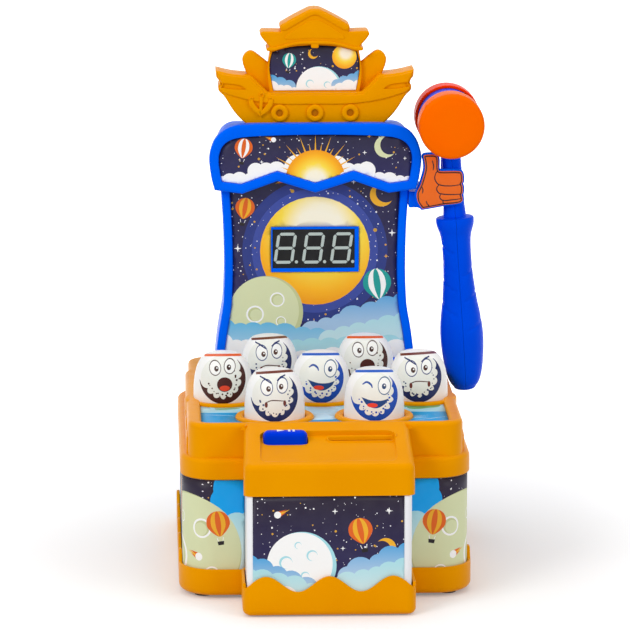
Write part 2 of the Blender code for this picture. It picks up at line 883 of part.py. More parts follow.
def make_start_button():
    bottom = button_flange_top - button_flange_thickness
    half_width = button_width / 2
    low = (-half_width, -button_depth / 2, bottom)
    high = (half_width, button_depth / 2, button_top)
    button = box("start_button", low, high)
    round_edges(button, button_rounding)
    reach = button_flange
    low = (-half_width - reach, -button_depth / 2 - reach, bottom)
    high = (half_width + reach, button_depth / 2 + reach, button_flange_top)
    flange = box("button_flange", low, high)
    unite(button, flange)
    for obj in (button, flange):
        obj.location = (button_centre, button_front + button_depth / 2, 0)
    finish(button, button_blue)


def make_start_switch():
    middle = button_front + button_depth / 2
    top = start_board_top()
    low = (button_centre - start_board_half_width, middle - start_board_half_depth, top - board_thickness)
    high = (button_centre + start_board_half_width, middle + start_board_half_depth, top)
    board = box("start_switch", low, high)
    low = top - board_thickness / 2
    unite(board, cylinder("start_plunger", (button_centre, middle), switch_radius, low, top + switch_height))
    finish(board, circuit_green)


def make_coin_chute():
    inner_front = slot_place - slot_width / 2
    inner_back = slot_place + slot_width / 2
    outer_front = inner_front - chute_wall
    outer_back = inner_back + chute_wall
    below = wall + gap + panel_depth
    outline = [
        (outer_back, chute_bottom), (outer_back, hood_line(outer_back, below)),
        (outer_front, hood_line(outer_front, below)), (outer_front, chute_bottom),
    ]
    half = slot_length / 2
    reach = half + chute_wall
    chute = plate("coin_chute", [outline], slot_centre - reach, slot_centre + reach, "side")
    low = (slot_centre - half, inner_front, chute_bottom - overrun)
    high = (slot_centre + half, inner_back, hood_back_top)
    cut(chute, box("chute_bore", low, high))
    finish(chute, white)


def around_battery(half_width, half_depth, low, high):
    # Two opposite corners of a box centred over the batteries
    first = (-half_width, battery_place - half_depth, low)
    return first, (half_width, battery_place + half_depth, high)


def make_batteries():
    half_width, half_depth = battery_bay()
    low = base_floor + gap
    top = low + 2 * battery_radius + 2 * gap + battery_box_wall
    flange = battery_door_margin + wall
    thin = battery_box_wall
    case = box("battery_box", *around_battery(half_width, half_depth, low, top))
    rim = around_battery(half_width + flange, half_depth + flange, low, low + thin)
    unite(case, box("battery_flange", *rim))
    room = around_battery(half_width - thin, half_depth - thin, low - overrun, top - thin)
    cut(case, box("battery_room", *room))
    finish(case, black)
    centre = low + battery_radius + gap
    front = battery_place - battery_length / 2
    for i in range(3):
        place = ((i - 1) * battery_pitch, centre)
        cell = cylinder(f"battery_{i + 1}", place, battery_radius, front, front + battery_length, "front")
        finish(cell, battery_wrap)
    half_width += battery_door_margin - gap
    half_depth += battery_door_margin - gap
    bottom = base_floor - battery_door_thickness
    door = box("battery_door", *around_battery(half_width, half_depth, bottom, base_floor))
    place = (0, battery_place + half_depth - battery_door_margin / 2)
    low = bottom - overrun
    high = base_floor + overrun
    cut(door, cylinder("door_screw_hole", place, screw_radius + gap, low, high, steps=small_steps))
    finish(door, amber)
    screw = cylinder("battery_door_screw", place, screw_radius, bottom + gap, base_floor, steps=small_steps)
    finish(screw, steel)


def make_power_switch():
    wall_inside = base_back - body_wall_margin - body_wall_thickness
    half_length = power_slot_length / 2 + power_slot_height / 2
    half_height = power_slot_height
    back = wall_inside - gap
    low = (power_place - half_length, back - power_case_depth, power_height - half_height)
    high = (power_place + half_length, back, power_height + half_height)
    case = box("power_switch", low, high)
    half_slot = power_slot_length / 2
    half_knob = power_slot_height / 2 - gap
    low = (power_place - half_slot, back - power_case_depth / 2, power_height - half_knob - gap)
    high = (power_place + half_slot, back + overrun, power_height + half_knob + gap)
    cut(case, box("power_track", low, high))
    finish(case, black)
    label_face = base_back - label_margin
    low = (-power_knob_length / 2, back - power_case_depth / 2 + gap, -half_knob)
    high = (power_knob_length / 2, label_face + power_knob_reach, half_knob)
    knob = box("power_switch_knob", low, high)
    knob.location = (power_place - power_travel / 2, 0, power_height)
    finish(knob, black)


def tower_outline(margin=0.0):
    bottom = rim_height + gap
    shares = [(across, up) for up, across in tower_profile_shares]
    full = both_sides(scaled(shares, tower_foot_half_width, tower_top - bottom, 0, bottom))
    if margin:
        full = inset(full, margin)
    return full


def display_outline(margin=0.0):
    half = display_width / 2 + margin
    low = display_bottom - margin
    high = display_bottom + display_height + margin
    return [(-half, low), (half, low), (half, high), (-half, high)]


def make_tower_front():
    face = tower_front + tower_bead_height
    front = plate("tower_front", [tower_outline()], tower_front, tower_split - gap / 2, "front")
    round_edges(front, tower_bead_height / 2, angle=60)
    before = tower_front - overrun
    after = tower_split + overrun
    cut(front, plate("tower_panel", [tower_outline(tower_bead)], before, face, "front"))
    cut(front, plate("tower_front_hollow", [tower_outline(wall)], face + wall, after, "front"))
    cut(front, plate("display_hole", [display_outline(gap)], tower_front, face + wall + overrun, "front"))
    across = main_board_half_width - post_radius
    up = main_board_height / 2 - post_radius
    middle = display_bottom + display_height / 2
    low = face + wall / 2
    high = main_board_front() - gap
    for x in (-across, across):
        for z in (middle - up, middle + up):
            unite(front, cylinder("tower_post", (x, z), post_radius, low, high, "front", small_steps))
    finish(front, frame_blue)
    outline = tower_outline(tower_bead + gap)
    label = plate("tower_label", [outline], face - gap - print_thickness, face - gap, "front")
    window = display_outline(display_bezel + gap)
    cut(label, plate("label_window", [window], tower_front, face + overrun, "front"))
    finish(label, printed)


def make_tower_rear():
    rear = plate("tower_rear", [tower_outline()], tower_split + gap / 2, tower_back, "front")
    round_edges(rear, tower_bead_height / 2, angle=60)
    inside = tower_back - wall
    beyond = tower_back + overrun
    cut(rear, plate("tower_rear_hollow", [tower_outline(wall)], tower_split - overrun, inside, "front"))
    for row in range(-2, 3):
        for column in range(-2, 3):
            if abs(row) + abs(column) <= 2:
                place = (column * grille_pitch, grille_height + row * grille_pitch)
                low = inside - overrun
                cut(rear, cylinder("grille_hole", place, grille_radius, low, beyond, "front", grille_steps))
    low = tower_back - wall / 2
    for name, side in (("rear_screw_left", -1), ("rear_screw_right", 1)):
        place = (side * rear_screw_spacing / 2, rear_screw_height)
        hole = cylinder("rear_screw_hole", place, screw_radius + gap, low, beyond, "front", small_steps)
        cut(rear, hole)
        screw = cylinder(name, place, screw_radius, low + gap, tower_back, "front", small_steps)
        finish(screw, steel)
    finish(rear, frame_blue)
    back = inside - gap
    place = (0, grille_height)
    speaker = cylinder("speaker", place, speaker_radius, back - speaker_depth, back, "front")
    round_edges(speaker, speaker_depth / 4, 1)
    finish(speaker, black)


def main_board_front():
    return tower_front + tower_bead_height + display_depth - 3 * gap


def make_display():
    face = tower_front + tower_bead_height
    low = tower_front + tower_bead_height / 4
    outlines = [display_outline(display_bezel), display_outline(gap)]
    finish(plate("display_bezel", outlines, low, face - gap, "front"), frame_blue)
    low = main_board_front() - gap - display_depth
    finish(plate("display_module", [display_outline()], low, low + display_depth, "front"), black)
    low = main_board_front()
    middle = display_bottom + display_height / 2
    first = (-main_board_half_width, low, middle - main_board_height / 2)
    last = (main_board_half_width, low + board_thickness, middle + main_board_height / 2)
    finish(box("main_board", first, last), circuit_green)


def make_marquee():
    half = scaled(marquee_outline_shares, marquee_half_width, marquee_height, 0, marquee_bottom)
    outline = both_sides(half)
    back = tower_front - gap
    frame = plate("marquee_frame", [outline], marquee_front, back, "front")
    round_edges(frame, marquee_recess / 2, angle=60)
    face = marquee_front + marquee_recess
    low = marquee_front - overrun
    cut(frame, plate("marquee_panel", [inset(outline, marquee_bead)], low, face, "front"))
    finish(frame, frame_blue)
    outline = inset(outline, marquee_bead + gap)
    label = plate("marquee_label", [outline], face - gap - print_thickness, face - gap, "front")
    finish(label, printed)


def boat_shape(shares):
    return both_sides(scaled(shares, boat_half_width, boat_height, 0, tower_top + gap))


def make_boat_half(name, side):
    depth = (boat_back - boat_front) / 2
    middle = boat_front + depth
    paddle = scaled(paddle_outline_shares, boat_half_width, boat_height, 0, tower_top + gap)
    layers = (
        (name, boat_shape(hull_outline_shares), 0.0),
        ("boat_gunwale", boat_shape(gunwale_outline_shares), -gunwale_height),
        ("boat_cabin", boat_shape(cabin_outline_shares), cabin_setback),
        ("boat_roof", boat_shape(roof_outline_shares), roof_setback),
        ("boat_paddle", paddle, paddle_setback),
        ("boat_other_paddle", [(-x, z) for x, z in reversed(paddle)], paddle_setback),
    )
    solids = []
    for i, (label, outline, setback) in enumerate(layers):
        # Each layer passes the split by a little more than the last, and one cut trims them all
        low, high = sorted((side * (depth - setback), -side * overrun * (2 + i) / 4))
        solids.append(plate(label, [outline], middle + low, middle + high, "front"))
    boat = solids[0]
    round_edges(boat, gunwale_height, 1, 60)
    unite(boat, *solids[1:])
    low, high = sorted((middle + side * gap / 2, middle - side * depth))
    reach = boat_half_width + overrun
    top = tower_top + boat_height + 2 * overrun
    cut(boat, box("boat_split", (-reach, low, tower_top - overrun), (reach, high, top)))
    for label, shares, setback in (
        ("boat_hollow", hull_hollow_shares, 0.0), ("roof_hollow", roof_hollow_shares, roof_setback),
    ):
        low, high = sorted((side * (depth - setback - wall), -side * overrun))
        cut(boat, plate(label, [boat_shape(shares)], middle + low, middle + high, "front"))
    return boat


def make_boat():
    front = make_boat_half("boat_front", -1)
    window = boat_shape(window_outline_shares)
    face = boat_front + cabin_setback + window_recess
    before = boat_front - gunwale_height - overrun
    cut(front, plate("window_recess", [window], before, face, "front"))
    label = plate("cabin_label", [inset(window, gap)], face - gap - print_thickness, face - gap, "front")
    finish(label, printed)
    level = tower_top + gap + boat_height * porthole_level_share
    ring_front = boat_front - porthole_height
    for i in (-1, 0, 1):
        place = (i * porthole_pitch, level)
        high = boat_front + wall / 2
        unite(front, cylinder("porthole", place, porthole_radius, ring_front, high, "front"))
        high = boat_front + wall / 4
        bore = cylinder("porthole_bore", place, porthole_bore, before, high, "front", small_steps)
        cut(front, bore)
    finish(front, amber)
    finish(make_boat_half("boat_rear", 1), amber)


def make_holder():
    hand = scaled(hand_outline_shares, hand_width, hand_height, hand_left, hand_bottom)
    reach = neck_radius + holder_clearance
    plate_back = hammer_y - reach
    plate_front = plate_back - holder_plate
    leg_front = hammer_y + reach
    leg_back = leg_front + holder_plate
    leg_right = hand_left + hand_width
    leg_top = arm_bottom + holder_leg_height
    holder = plate("hammer_holder", [inset(hand, -hand_margin)], plate_front, plate_back, "front")
    web_left = hand_left + hand_margin
    low = (web_left, plate_front + wall / 2, arm_bottom)
    unite(holder, box("holder_web", low, (web_left + holder_web, leg_back, leg_top)))
    low = (web_left + wall / 2, leg_front, arm_bottom)
    unite(holder, box("holder_leg", low, (leg_right, leg_back, leg_top)))
    tab_left = hammer_x - holder_tab_width / 2
    low = (tab_left, leg_front, leg_top - wall)
    rest = hammer_z - barrel_radius - gap
    unite(holder, box("holder_tab", low, (tab_left + holder_tab_width, leg_back, rest)))
    arm_front = (plate_front + leg_back - arm_depth) / 2
    low = (tower_side_at(arm_bottom + arm_height / 2) + 2 * gap, arm_front, arm_bottom)
    high = (web_left + wall, arm_front + arm_depth, arm_bottom + arm_height)
    unite(holder, box("holder_arm", low, high))
    finish(holder, frame_blue)
    relief = plate("hand_relief", [hand], plate_front - gap - hand_thickness, plate_front - gap, "front")
    finish(relief, hand_orange)


def tower_side_at(height):
    bottom = rim_height + gap
    share = (height - bottom) / (tower_top - bottom)
    for (low, near), (high, far) in zip(tower_profile_shares, tower_profile_shares[1:]):
        if low <= share <= high:
            return tower_foot_half_width * (near + (far - near) * (share - low) / (high - low))
    return tower_foot_half_width


def hammer_profiles():
    # The handle's outside and its hollow, each from the head's centre down the axis
    outer = [(0.0, 0.0), (neck_top_radius, 0.0)]
    for place, radius in grip_profile_shares:
        outer.append((radius * grip_radius, -neck_length - place * grip_length))
    inner = [(radius - handle_wall, height) for radius, height in outer[1:-2]]
    return outer, [(0.0, 0.0)] + inner + [(0.0, inner[-1][1])]


def make_hammer():
    pivot = bpy.data.objects.new("hammer_axis", None)
    parts.objects.link(pivot)
    pivot.parent = root
    pivot.location = (hammer_x, hammer_y, hammer_z)
    pivot.rotation_euler = (0, -hammer_tilt, 0)
    outer, inner = hammer_profiles()
    end = head_length / 2
    barrel = end - cap_face - gap
    room = barrel - handle_wall
    radius = barrel_radius - handle_wall
    reach = cap_radius + grip_radius
    for name, side in (("hammer_left_half", -1), ("hammer_right_half", 1)):
        half = turned(name, outer, parent=pivot)
        unite(half, cylinder("barrel", (0, 0), barrel_radius, -barrel, barrel, "front", parent=pivot))
        cut(half, cylinder("barrel_hollow", (0, 0), radius, -room, room, "front", parent=pivot))
        cut(half, turned("handle_hollow", inner, parent=pivot))
        low_x, high_x = sorted((side * gap / 2, side * reach))
        low = (low_x, -head_length, -neck_length - grip_length - reach)
        keep(half, box("half_space", low, (high_x, head_length, reach), pivot))
        finish(half, handle_blue)
    bore = barrel_radius + gap
    cap = [(0.0, end - cap_face), (bore, end - cap_face)]
    cap += [(bore, end - cap_length), (cap_radius, end - cap_length)]
    for angle in (0, 30, 60, 90):
        turn = math.radians(angle)
        across = cap_radius - cap_rounding * (1 - math.cos(turn))
        cap.append((across, end - cap_rounding * (1 - math.sin(turn))))
    cap.append((0.0, end))
    for name, turn, material in (("hammer_front_cap", 90, cap_orange), ("hammer_rear_cap", -90, cap_red)):
        obj = turned(name, cap, parent=pivot)
        obj.rotation_euler = (math.radians(turn), 0, 0)
        finish(obj, material)


def stand_on_origin():
    # Puts the middle of the toy's footprint at the origin
    bpy.context.view_layer.update()
    depsgraph = bpy.context.evaluated_depsgraph_get()
    corners = []
    for obj in parts.objects:
        if obj.type == "MESH":
            solid = obj.evaluated_get(depsgraph)
            corners += [solid.matrix_world @ vertex.co for vertex in solid.data.vertices]
    low = [min(corner[i] for corner in corners) for i in range(3)]
    high = [max(corner[i] for corner in corners) for i in range(3)]
    root.location = (-(low[0] + high[0]) / 2, -(low[1] + high[1]) / 2, -low[2])


clear_scene()
parts = add_collection("electronic_hammer_game")
cutters = add_collection("electronic_hammer_game_cutters")
root = bpy.data.objects.new("toy_root", None)
parts.objects.link(root)

amber = paint("amber_abs", (0.87, 0.35, 0.0), 0.35)
white = paint("white_abs", (0.85, 0.85, 0.85), 0.35)
milky = paint("milky_polypropylene", (0.9, 0.9, 0.88), 0.3)
frame_blue = paint("blue_abs", (0.0, 0.12, 0.95), 0.3)
handle_blue = paint("handle_blue_abs", (0.0, 0.07, 0.7), 0.35)
button_blue = paint("button_blue_abs", (0.0, 0.05, 0.65), 0.3)
cap_orange = paint("orange_abs", (1.0, 0.16, 0.0), 0.3)
cap_red = paint("red_orange_abs", (0.8, 0.05, 0.0), 0.3)
hand_orange = paint("hand_orange_abs", (0.65, 0.12, 0.01), 0.4)
printed = paint("printed_film", (0.03, 0.03, 0.1), 0.35)
black = paint("black_abs", (0.015, 0.015, 0.015), 0.4)
rubber = paint("rubber", (0.05, 0.05, 0.05), 0.8)
steel = paint("steel", (0.6, 0.6, 0.6), 0.3, 1.0)
circuit_green = paint("circuit_board", (0.02, 0.2, 0.06), 0.5)
battery_wrap = paint("battery_wrap", (0.1, 0.1, 0.12), 0.4)

make_bottom_tray()
make_feet()
make_body_wall()
make_body_label()
make_tray_housing()
make_tray_label()
make_moles()
make_switch_board()
make_console_base()
make_console_wall()
make_console_label()
make_console_hood()
make_start_button()
make_start_switch()
make_coin_chute()
make_batteries()
make_power_switch()
make_tower_front()
make_tower_rear()
make_display()
make_marquee()
make_boat()
make_holder()
make_hammer()
stand_on_origin()
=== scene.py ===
# Electronic hammer game: amber body, seven pop-up heads, blue tower, boat and hammer
import math
import random

import bmesh
import bpy
from mathutils import Matrix, Vector, geometry


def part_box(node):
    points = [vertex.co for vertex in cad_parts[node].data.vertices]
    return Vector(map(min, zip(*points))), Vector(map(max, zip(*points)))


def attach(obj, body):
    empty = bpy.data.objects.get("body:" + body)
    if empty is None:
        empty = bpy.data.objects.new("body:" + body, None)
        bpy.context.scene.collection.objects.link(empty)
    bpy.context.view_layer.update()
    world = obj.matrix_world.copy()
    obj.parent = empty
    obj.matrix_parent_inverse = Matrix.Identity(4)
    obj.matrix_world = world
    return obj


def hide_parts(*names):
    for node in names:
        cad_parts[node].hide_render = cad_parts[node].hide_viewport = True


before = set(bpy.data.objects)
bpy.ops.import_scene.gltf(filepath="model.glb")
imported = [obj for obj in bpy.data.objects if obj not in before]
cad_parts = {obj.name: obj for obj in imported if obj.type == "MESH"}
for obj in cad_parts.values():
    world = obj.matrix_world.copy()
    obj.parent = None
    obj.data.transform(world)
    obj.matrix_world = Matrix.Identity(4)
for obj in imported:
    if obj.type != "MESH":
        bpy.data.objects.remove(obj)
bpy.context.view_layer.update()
scene = bpy.context.scene


def middleOf(node, axis):
    low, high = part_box(node)
    return (low[axis] + high[axis]) / 2


# Everything below is in millimetres, from the middle of the front row of heads at floor level
toyPlace = Matrix.Translation((middleOf("tower_front", 0), middleOf("mole_1", 1), 0)) @ Matrix.Scale(0.001, 4)
print("frame loaded")


# Materials

def linear(hexText):
    channels = [int(hexText[i:i + 2], 16) / 255 for i in (1, 3, 5)]
    return tuple(c / 12.92 if c <= 0.04045 else ((c + 0.055) / 1.055) ** 2.4 for c in channels) + (1.0,)


def mixed(first, second, share):
    share = min(max(share, 0.0), 1.0)
    return tuple(a + (b - a) * share for a, b in zip(first, second))


def addNode(tree, kind, inputs=None, **settings):
    node = tree.nodes.new(kind)
    for name, value in settings.items():
        setattr(node, name, value)
    for name, value in (inputs or {}).items():
        if isinstance(value, bpy.types.NodeSocket):
            tree.links.new(value, node.inputs[name])
        else:
            node.inputs[name].default_value = value
    return node


def mathOf(tree, operation, *values):
    return addNode(tree, "ShaderNodeMath", dict(enumerate(values)), operation=operation).outputs[0]


def newMaterial(name):
    material = bpy.data.materials.new(name)
    material.use_nodes = True
    material.node_tree.nodes.clear()
    return material, material.node_tree


def millimetres(tree):
    # Object coordinates, with one unit to a millimetre
    place = addNode(tree, "ShaderNodeTexCoord")
    scaledPlace = {"Vector": place.outputs["Object"], "Scale": (1000, 1000, 1000)}
    return addNode(tree, "ShaderNodeMapping", scaledPlace).outputs[0]


def noiseAt(tree, where, size, detail=2.0):
    # Noise whose lumps are about this many millimetres across
    return addNode(tree, "ShaderNodeTexNoise", {"Vector": where, "Scale": 1 / size, "Detail": detail}).outputs["Fac"]


def bumpOf(tree, height, depth, normal=None):
    # depth is the height of the pattern in millimetres
    inputs = {"Height": height, "Strength": 1.0, "Distance": depth / 1000}
    if normal:
        inputs["Normal"] = normal
    return addNode(tree, "ShaderNodeBump", inputs).outputs[0]


def ranged(tree, value, low, high):
    inputs = {"Value": value, "From Min": 0.3, "From Max": 0.7, "To Min": low, "To Max": high}
    return addNode(tree, "ShaderNodeMapRange", inputs).outputs[0]


def blended(tree, share, first, second):
    node = addNode(tree, "ShaderNodeMix", {0: share, 6: first, 7: second}, data_type="RGBA")
    return node.outputs[2]


def endSurface(tree, shader):
    addNode(tree, "ShaderNodeOutputMaterial", {"Surface": shader.outputs[0]})


def mouldedPlastic(name, colour, deeper, rough=0.34, peel=0.006, gloss=0.08):
    # ABS from a steel mould: even colour with faint flow clouds, a soft gloss and a very fine orange peel.
    # The low, tinted specular level stands for the polarised light of a product photograph.
    material, tree = newMaterial(name)
    where = millimetres(tree)
    cloud = noiseAt(tree, where, 38, 3)
    tone = blended(tree, ranged(tree, cloud, 0, 1), linear(colour), linear(deeper))
    speck = noiseAt(tree, where, 5, 3)
    normal = bumpOf(tree, noiseAt(tree, where, 2.6, 1), peel)
    normal = bumpOf(tree, noiseAt(tree, where, 0.5, 1), peel / 6, normal)
    shader = addNode(tree, "ShaderNodeBsdfPrincipled", {
        "Base Color": tone, "Roughness": ranged(tree, speck, rough - 0.04, rough + 0.05), "IOR": 1.53,
        "Specular IOR Level": gloss, "Specular Tint": linear(colour), "Normal": normal,
    })
    endSurface(tree, shader)
    return material


def printedMaterial(name, rough, stars, soft=0.0):
    # Ink colours come from the piece's own "print" attribute, and its alpha says where the night sky has stars
    material, tree = newMaterial(name)
    where = millimetres(tree)
    ink = addNode(tree, "ShaderNodeAttribute", attribute_name="print")
    colour = ink.outputs["Color"]
    # Stars are picked cells of a flat pattern over the width and height of the print
    axes = addNode(tree, "ShaderNodeSeparateXYZ", {0: where}).outputs
    across = mathOf(tree, "MULTIPLY_ADD", axes[1], 0.7, axes[0])
    flat = addNode(tree, "ShaderNodeCombineXYZ", {0: across, 1: axes[2]}).outputs[0]
    for size, reach, pick, tint in stars:
        inputs = {"Vector": flat, "Scale": 1 / size, "Randomness": 0.9}
        cells = addNode(tree, "ShaderNodeTexVoronoi", inputs, voronoi_dimensions="2D")
        pickedCell = addNode(tree, "ShaderNodeSeparateColor", {"Color": cells.outputs["Color"]})
        chosen = mathOf(tree, "GREATER_THAN", pickedCell.outputs[0], pick)
        spot = mathOf(tree, "MULTIPLY_ADD", pickedCell.outputs[1], reach / size, reach / size * 0.4)
        near = mathOf(tree, "LESS_THAN", cells.outputs["Distance"], spot)
        both = mathOf(tree, "MULTIPLY", near, chosen)
        mask = mathOf(tree, "MULTIPLY", both, ink.outputs["Alpha"])
        colour = blended(tree, mask, colour, linear(tint))
    grain = noiseAt(tree, where, 0.45, 2)
    colour = blended(tree, ranged(tree, noiseAt(tree, where, 9, 2), 0, 0.008), colour, (1, 1, 1, 1))
    shader = addNode(tree, "ShaderNodeBsdfPrincipled", {
        "Base Color": colour, "Roughness": ranged(tree, grain, rough - 0.05, rough + 0.05), "IOR": 1.5,
        "Specular IOR Level": 0.2, "Normal": bumpOf(tree, grain, 0.0012),
        "Subsurface Weight": soft, "Subsurface Radius": (1.0, 0.9, 0.8), "Subsurface Scale": 0.003,
    })
    endSurface(tree, shader)
    return material


finishes = {
    "amber": mouldedPlastic("amberAbs", "#EE9C00", "#EA9600", 0.34, 0.005),
    "white": mouldedPlastic("whiteAbs", "#F4F5F8", "#EEF0F4", 0.36, 0.004, 0.3),
    "frameBlue": mouldedPlastic("frameBlueAbs", "#0068FF", "#0062FA", 0.33, 0.005),
    "handleBlue": mouldedPlastic("handleBlueAbs", "#0050F0", "#004AE6", 0.36, 0.007),
    "buttonBlue": mouldedPlastic("buttonBlueAbs", "#0038DA", "#0032D0", 0.28, 0.003),
    "capOrange": mouldedPlastic("capOrangeAbs", "#FF7000", "#FF6800", 0.34, 0.004, 0.05),
    "capRed": mouldedPlastic("capRedAbs", "#FF3606", "#F63200", 0.34, 0.004, 0.05),
    "black": mouldedPlastic("blackAbs", "#101014", "#16161A", 0.38, 0.004),
}
# Gloss-laminated film: flat ink under a thin clear layer, with white and gold stars printed in the sky
finishes["film"] = printedMaterial(
    "printedFilm", 0.42,
    ((4.2, 0.3, 0.62, "#E8E6F0"), (6.5, 0.42, 0.7, "#FFFFFF"), (8.0, 0.55, 0.72, "#D8A23A"), (14.0, 0.95, 0.8, "#C99A3A")),
)
# Blow-moulded polypropylene heads: waxy white that lets light bleed under the pad-printed faces
finishes["head"] = printedMaterial("milkyPolypropylene", 0.36, (), soft=0.12)
# Amber ABS darkened to a painted shade, for the hollow middles of the portholes
finishes["amberPaintedShade"] = mouldedPlastic("amberRecessPaintedShade", "#B8700C", "#AC6608", 0.5, 0.004)
# The fist is orange ABS with its outlines painted on the raised lines
finishes["paintedFist"] = printedMaterial("paintedFistAbs", 0.4, ())
# The slot name that goes with each finish
slots = {
    "amber": "amber_abs", "amberPaintedShade": "amber_abs", "white": "white_abs", "frameBlue": "frame_blue_abs",
    "handleBlue": "handle_blue_abs", "buttonBlue": "button_blue_abs", "capOrange": "orange_abs",
    "capRed": "red_orange_abs", "film": "printed_film", "head": "milky_polypropylene",
    "paintedFist": "hand_orange_abs",
}
print("materials ready")


# Outlines

def arc(centre, radius, start, end, steps):
    turns = [math.radians(start + (end - start) * i / steps) for i in range(steps + 1)]
    return [(centre[0] + radius * math.cos(turn), centre[1] + radius * math.sin(turn)) for turn in turns]


def roundedRectangle(left, right, low, high, radius, steps=8):
    points = arc((right - radius, high - radius), radius, 0, 90, steps)
    points += arc((left + radius, high - radius), radius, 90, 180, steps)
    points += arc((left + radius, low + radius), radius, 180, 270, steps)
    points += arc((right - radius, low + radius), radius, 270, 360, steps)
    return points


def disc(x, z, radius, steps=28, tall=1.0):
    turns = [math.tau * i / steps for i in range(steps)]
    return [(x + radius * math.cos(turn), z + radius * tall * math.sin(turn)) for turn in turns]


def inset(points, distance):
    # Moves every side of an anticlockwise outline inwards
    moved = []
    for i, here in enumerate(points):
        here = Vector(here)
        before = (here - Vector(points[i - 1])).normalized()
        after = (Vector(points[(i + 1) % len(points)]) - here).normalized()
        first = Vector((-before.y, before.x))
        second = Vector((-after.y, after.x))
        moved.append(tuple(here + (first + second) * distance / max(1 + first.dot(second), 0.35)))
    return moved


def smoothed(points, steps=4):
    # Runs a soft curve through the points; a third value of 1 keeps a corner sharp
    chain = [Vector(p[:2]) for p in points]
    sharp = [len(p) > 2 and p[2] == 1 for p in points]
    result = []
    for i in range(len(chain) - 1):
        first, second = chain[i], chain[i + 1]
        before = first if i == 0 or sharp[i] else chain[i - 1]
        after = second if i + 2 == len(chain) or sharp[i + 1] else chain[i + 2]
        span = (second - first).length
        slopeIn = slopeOut = second - first
        if before is not first:
            slopeIn = (second - before) / max((second - before).length, 1e-6) * span
        if after is not second:
            slopeOut = (after - first) / max((after - first).length, 1e-6) * span
        for step in range(steps):
            t = step / steps
            a = 2 * t ** 3 - 3 * t ** 2 + 1
            b = t ** 3 - 2 * t ** 2 + t
            c = 3 * t ** 2 - 2 * t ** 3
            d = t ** 3 - t ** 2
            result.append(tuple(first * a + slopeIn * b + second * c + slopeOut * d))
    result.append(tuple(chain[-1]))
    return result


def anticlockwise(points):
    area = sum(a[0] * b[1] - b[0] * a[1] for a, b in zip(points, points[1:] + points[:1]))
    return points if area > 0 else points[::-1]


def bothSides(half):
    # Adds the mirror image of an outline that runs from the middle, up the +X side, to the middle
    return half + [(-x, z) for x, z in reversed(half) if x > 0.001]


def scaled(shares, width, height, left=0.0, low=0.0):
    return [(left + p[0] * width, low + p[1] * height) + tuple(p[2:]) for p in shares]


def stroke(points, width, taper=0.0):
    # A line of this width along the points, thinner at its ends by the taper
    line = [Vector(p) for p in points]
    left, right = [], []
    for i, here in enumerate(line):
        along = (line[min(i + 1, len(line) - 1)] - line[max(i - 1, 0)]).normalized()
        share = abs(2 * i / (len(line) - 1) - 1) ** 2
        half = Vector((-along.y, along.x)) * width / 2 * (1 - taper * share)
        left.append(tuple(here + half))
        right.append(tuple(here - half))
    return right + left[::-1]


def rectangle(left, right, low, high):
    return [(left, low), (right, low), (right, high), (left, high)]


def between(first, second, share):
    return tuple(a + (b - a) * share for a, b in zip(first, second))


def runningLengths(points):
    # How far along a line each of its points lies
    lengths = [0.0]
    for a, b in zip(points, points[1:]):
        lengths.append(lengths[-1] + math.dist(a, b))
    return lengths


def partAt(lengths, reach):
    # The part of a line that a length along it falls in, and how far through that part
    for i in range(len(lengths) - 1):
        if reach <= lengths[i + 1] or i == len(lengths) - 2:
            return i, (reach - lengths[i]) / (lengths[i + 1] - lengths[i])


def edgeSteps(radius, steps=4):
    # Insets and drops of a rounded edge, from the side to the top
    turns = [math.pi / 2 * i / steps for i in range(steps + 1)]
    return [(radius * (1 - math.cos(turn)), radius * (1 - math.sin(turn))) for turn in turns]


# Meshes

def onFloor(depth):
    return lambda x, y: (x, y, depth)


def onFront(depth):
    return lambda x, z: (x, depth, z)


def onSide(depth):
    return lambda y, z: (depth, y, z)


def addRings(bm, rings, closed=True):
    # Quads between rings of points that all have one count
    rows = [[bm.verts.new(p) for p in ring] for ring in rings]
    count = len(rows[0])
    for low, high in zip(rows, rows[1:]):
        for i in range(count if closed else count - 1):
            j = (i + 1) % count
            bm.faces.new((low[i], low[j], high[j], high[i]))


def addLevels(bm, levels, plane):
    # Rings from pairs of an outline and its depth
    addRings(bm, [[plane(depth)(*p) for p in points] for points, depth in levels])


def addCap(bm, outlines, place):
    # Fills the first outline and leaves the others open
    verts, faces = [], []
    for outline in outlines:
        faces.append(list(range(len(verts), len(verts) + len(outline))))
        verts += [Vector(p) for p in anticlockwise(outline)]
    found, _, triangles, _, _, origins = geometry.delaunay_2d_cdt(verts, [], faces, 1, 1e-6)
    corners = [bm.verts.new(place(*p)) for p in found]
    for triangle, origin in zip(triangles, origins):
        if origin and max(origin) == 0:
            bm.faces.new([corners[i] for i in triangle])


def addLoft(bm, outline, steps, plane, holes=(), caps=(True, True)):
    # steps are insets and depths of one outline; both ends are filled round the holes
    levels = [(inset(outline, margin) if margin else outline, depth) for margin, depth in steps]
    addLevels(bm, levels, plane)
    ends = levels[0], levels[-1]
    for wanted, (points, depth) in zip(caps, ends):
        if wanted:
            addCap(bm, [points, *holes], plane(depth))
    for hole in holes:
        addLevels(bm, [(hole, depth) for _, depth in ends], plane)


def addTurned(bm, profile, steps):
    # A profile of radius and height, turned about the upright axis
    addLevels(bm, [(disc(0, 0, max(radius, 0.0001), steps), height) for radius, height in profile], onFloor)


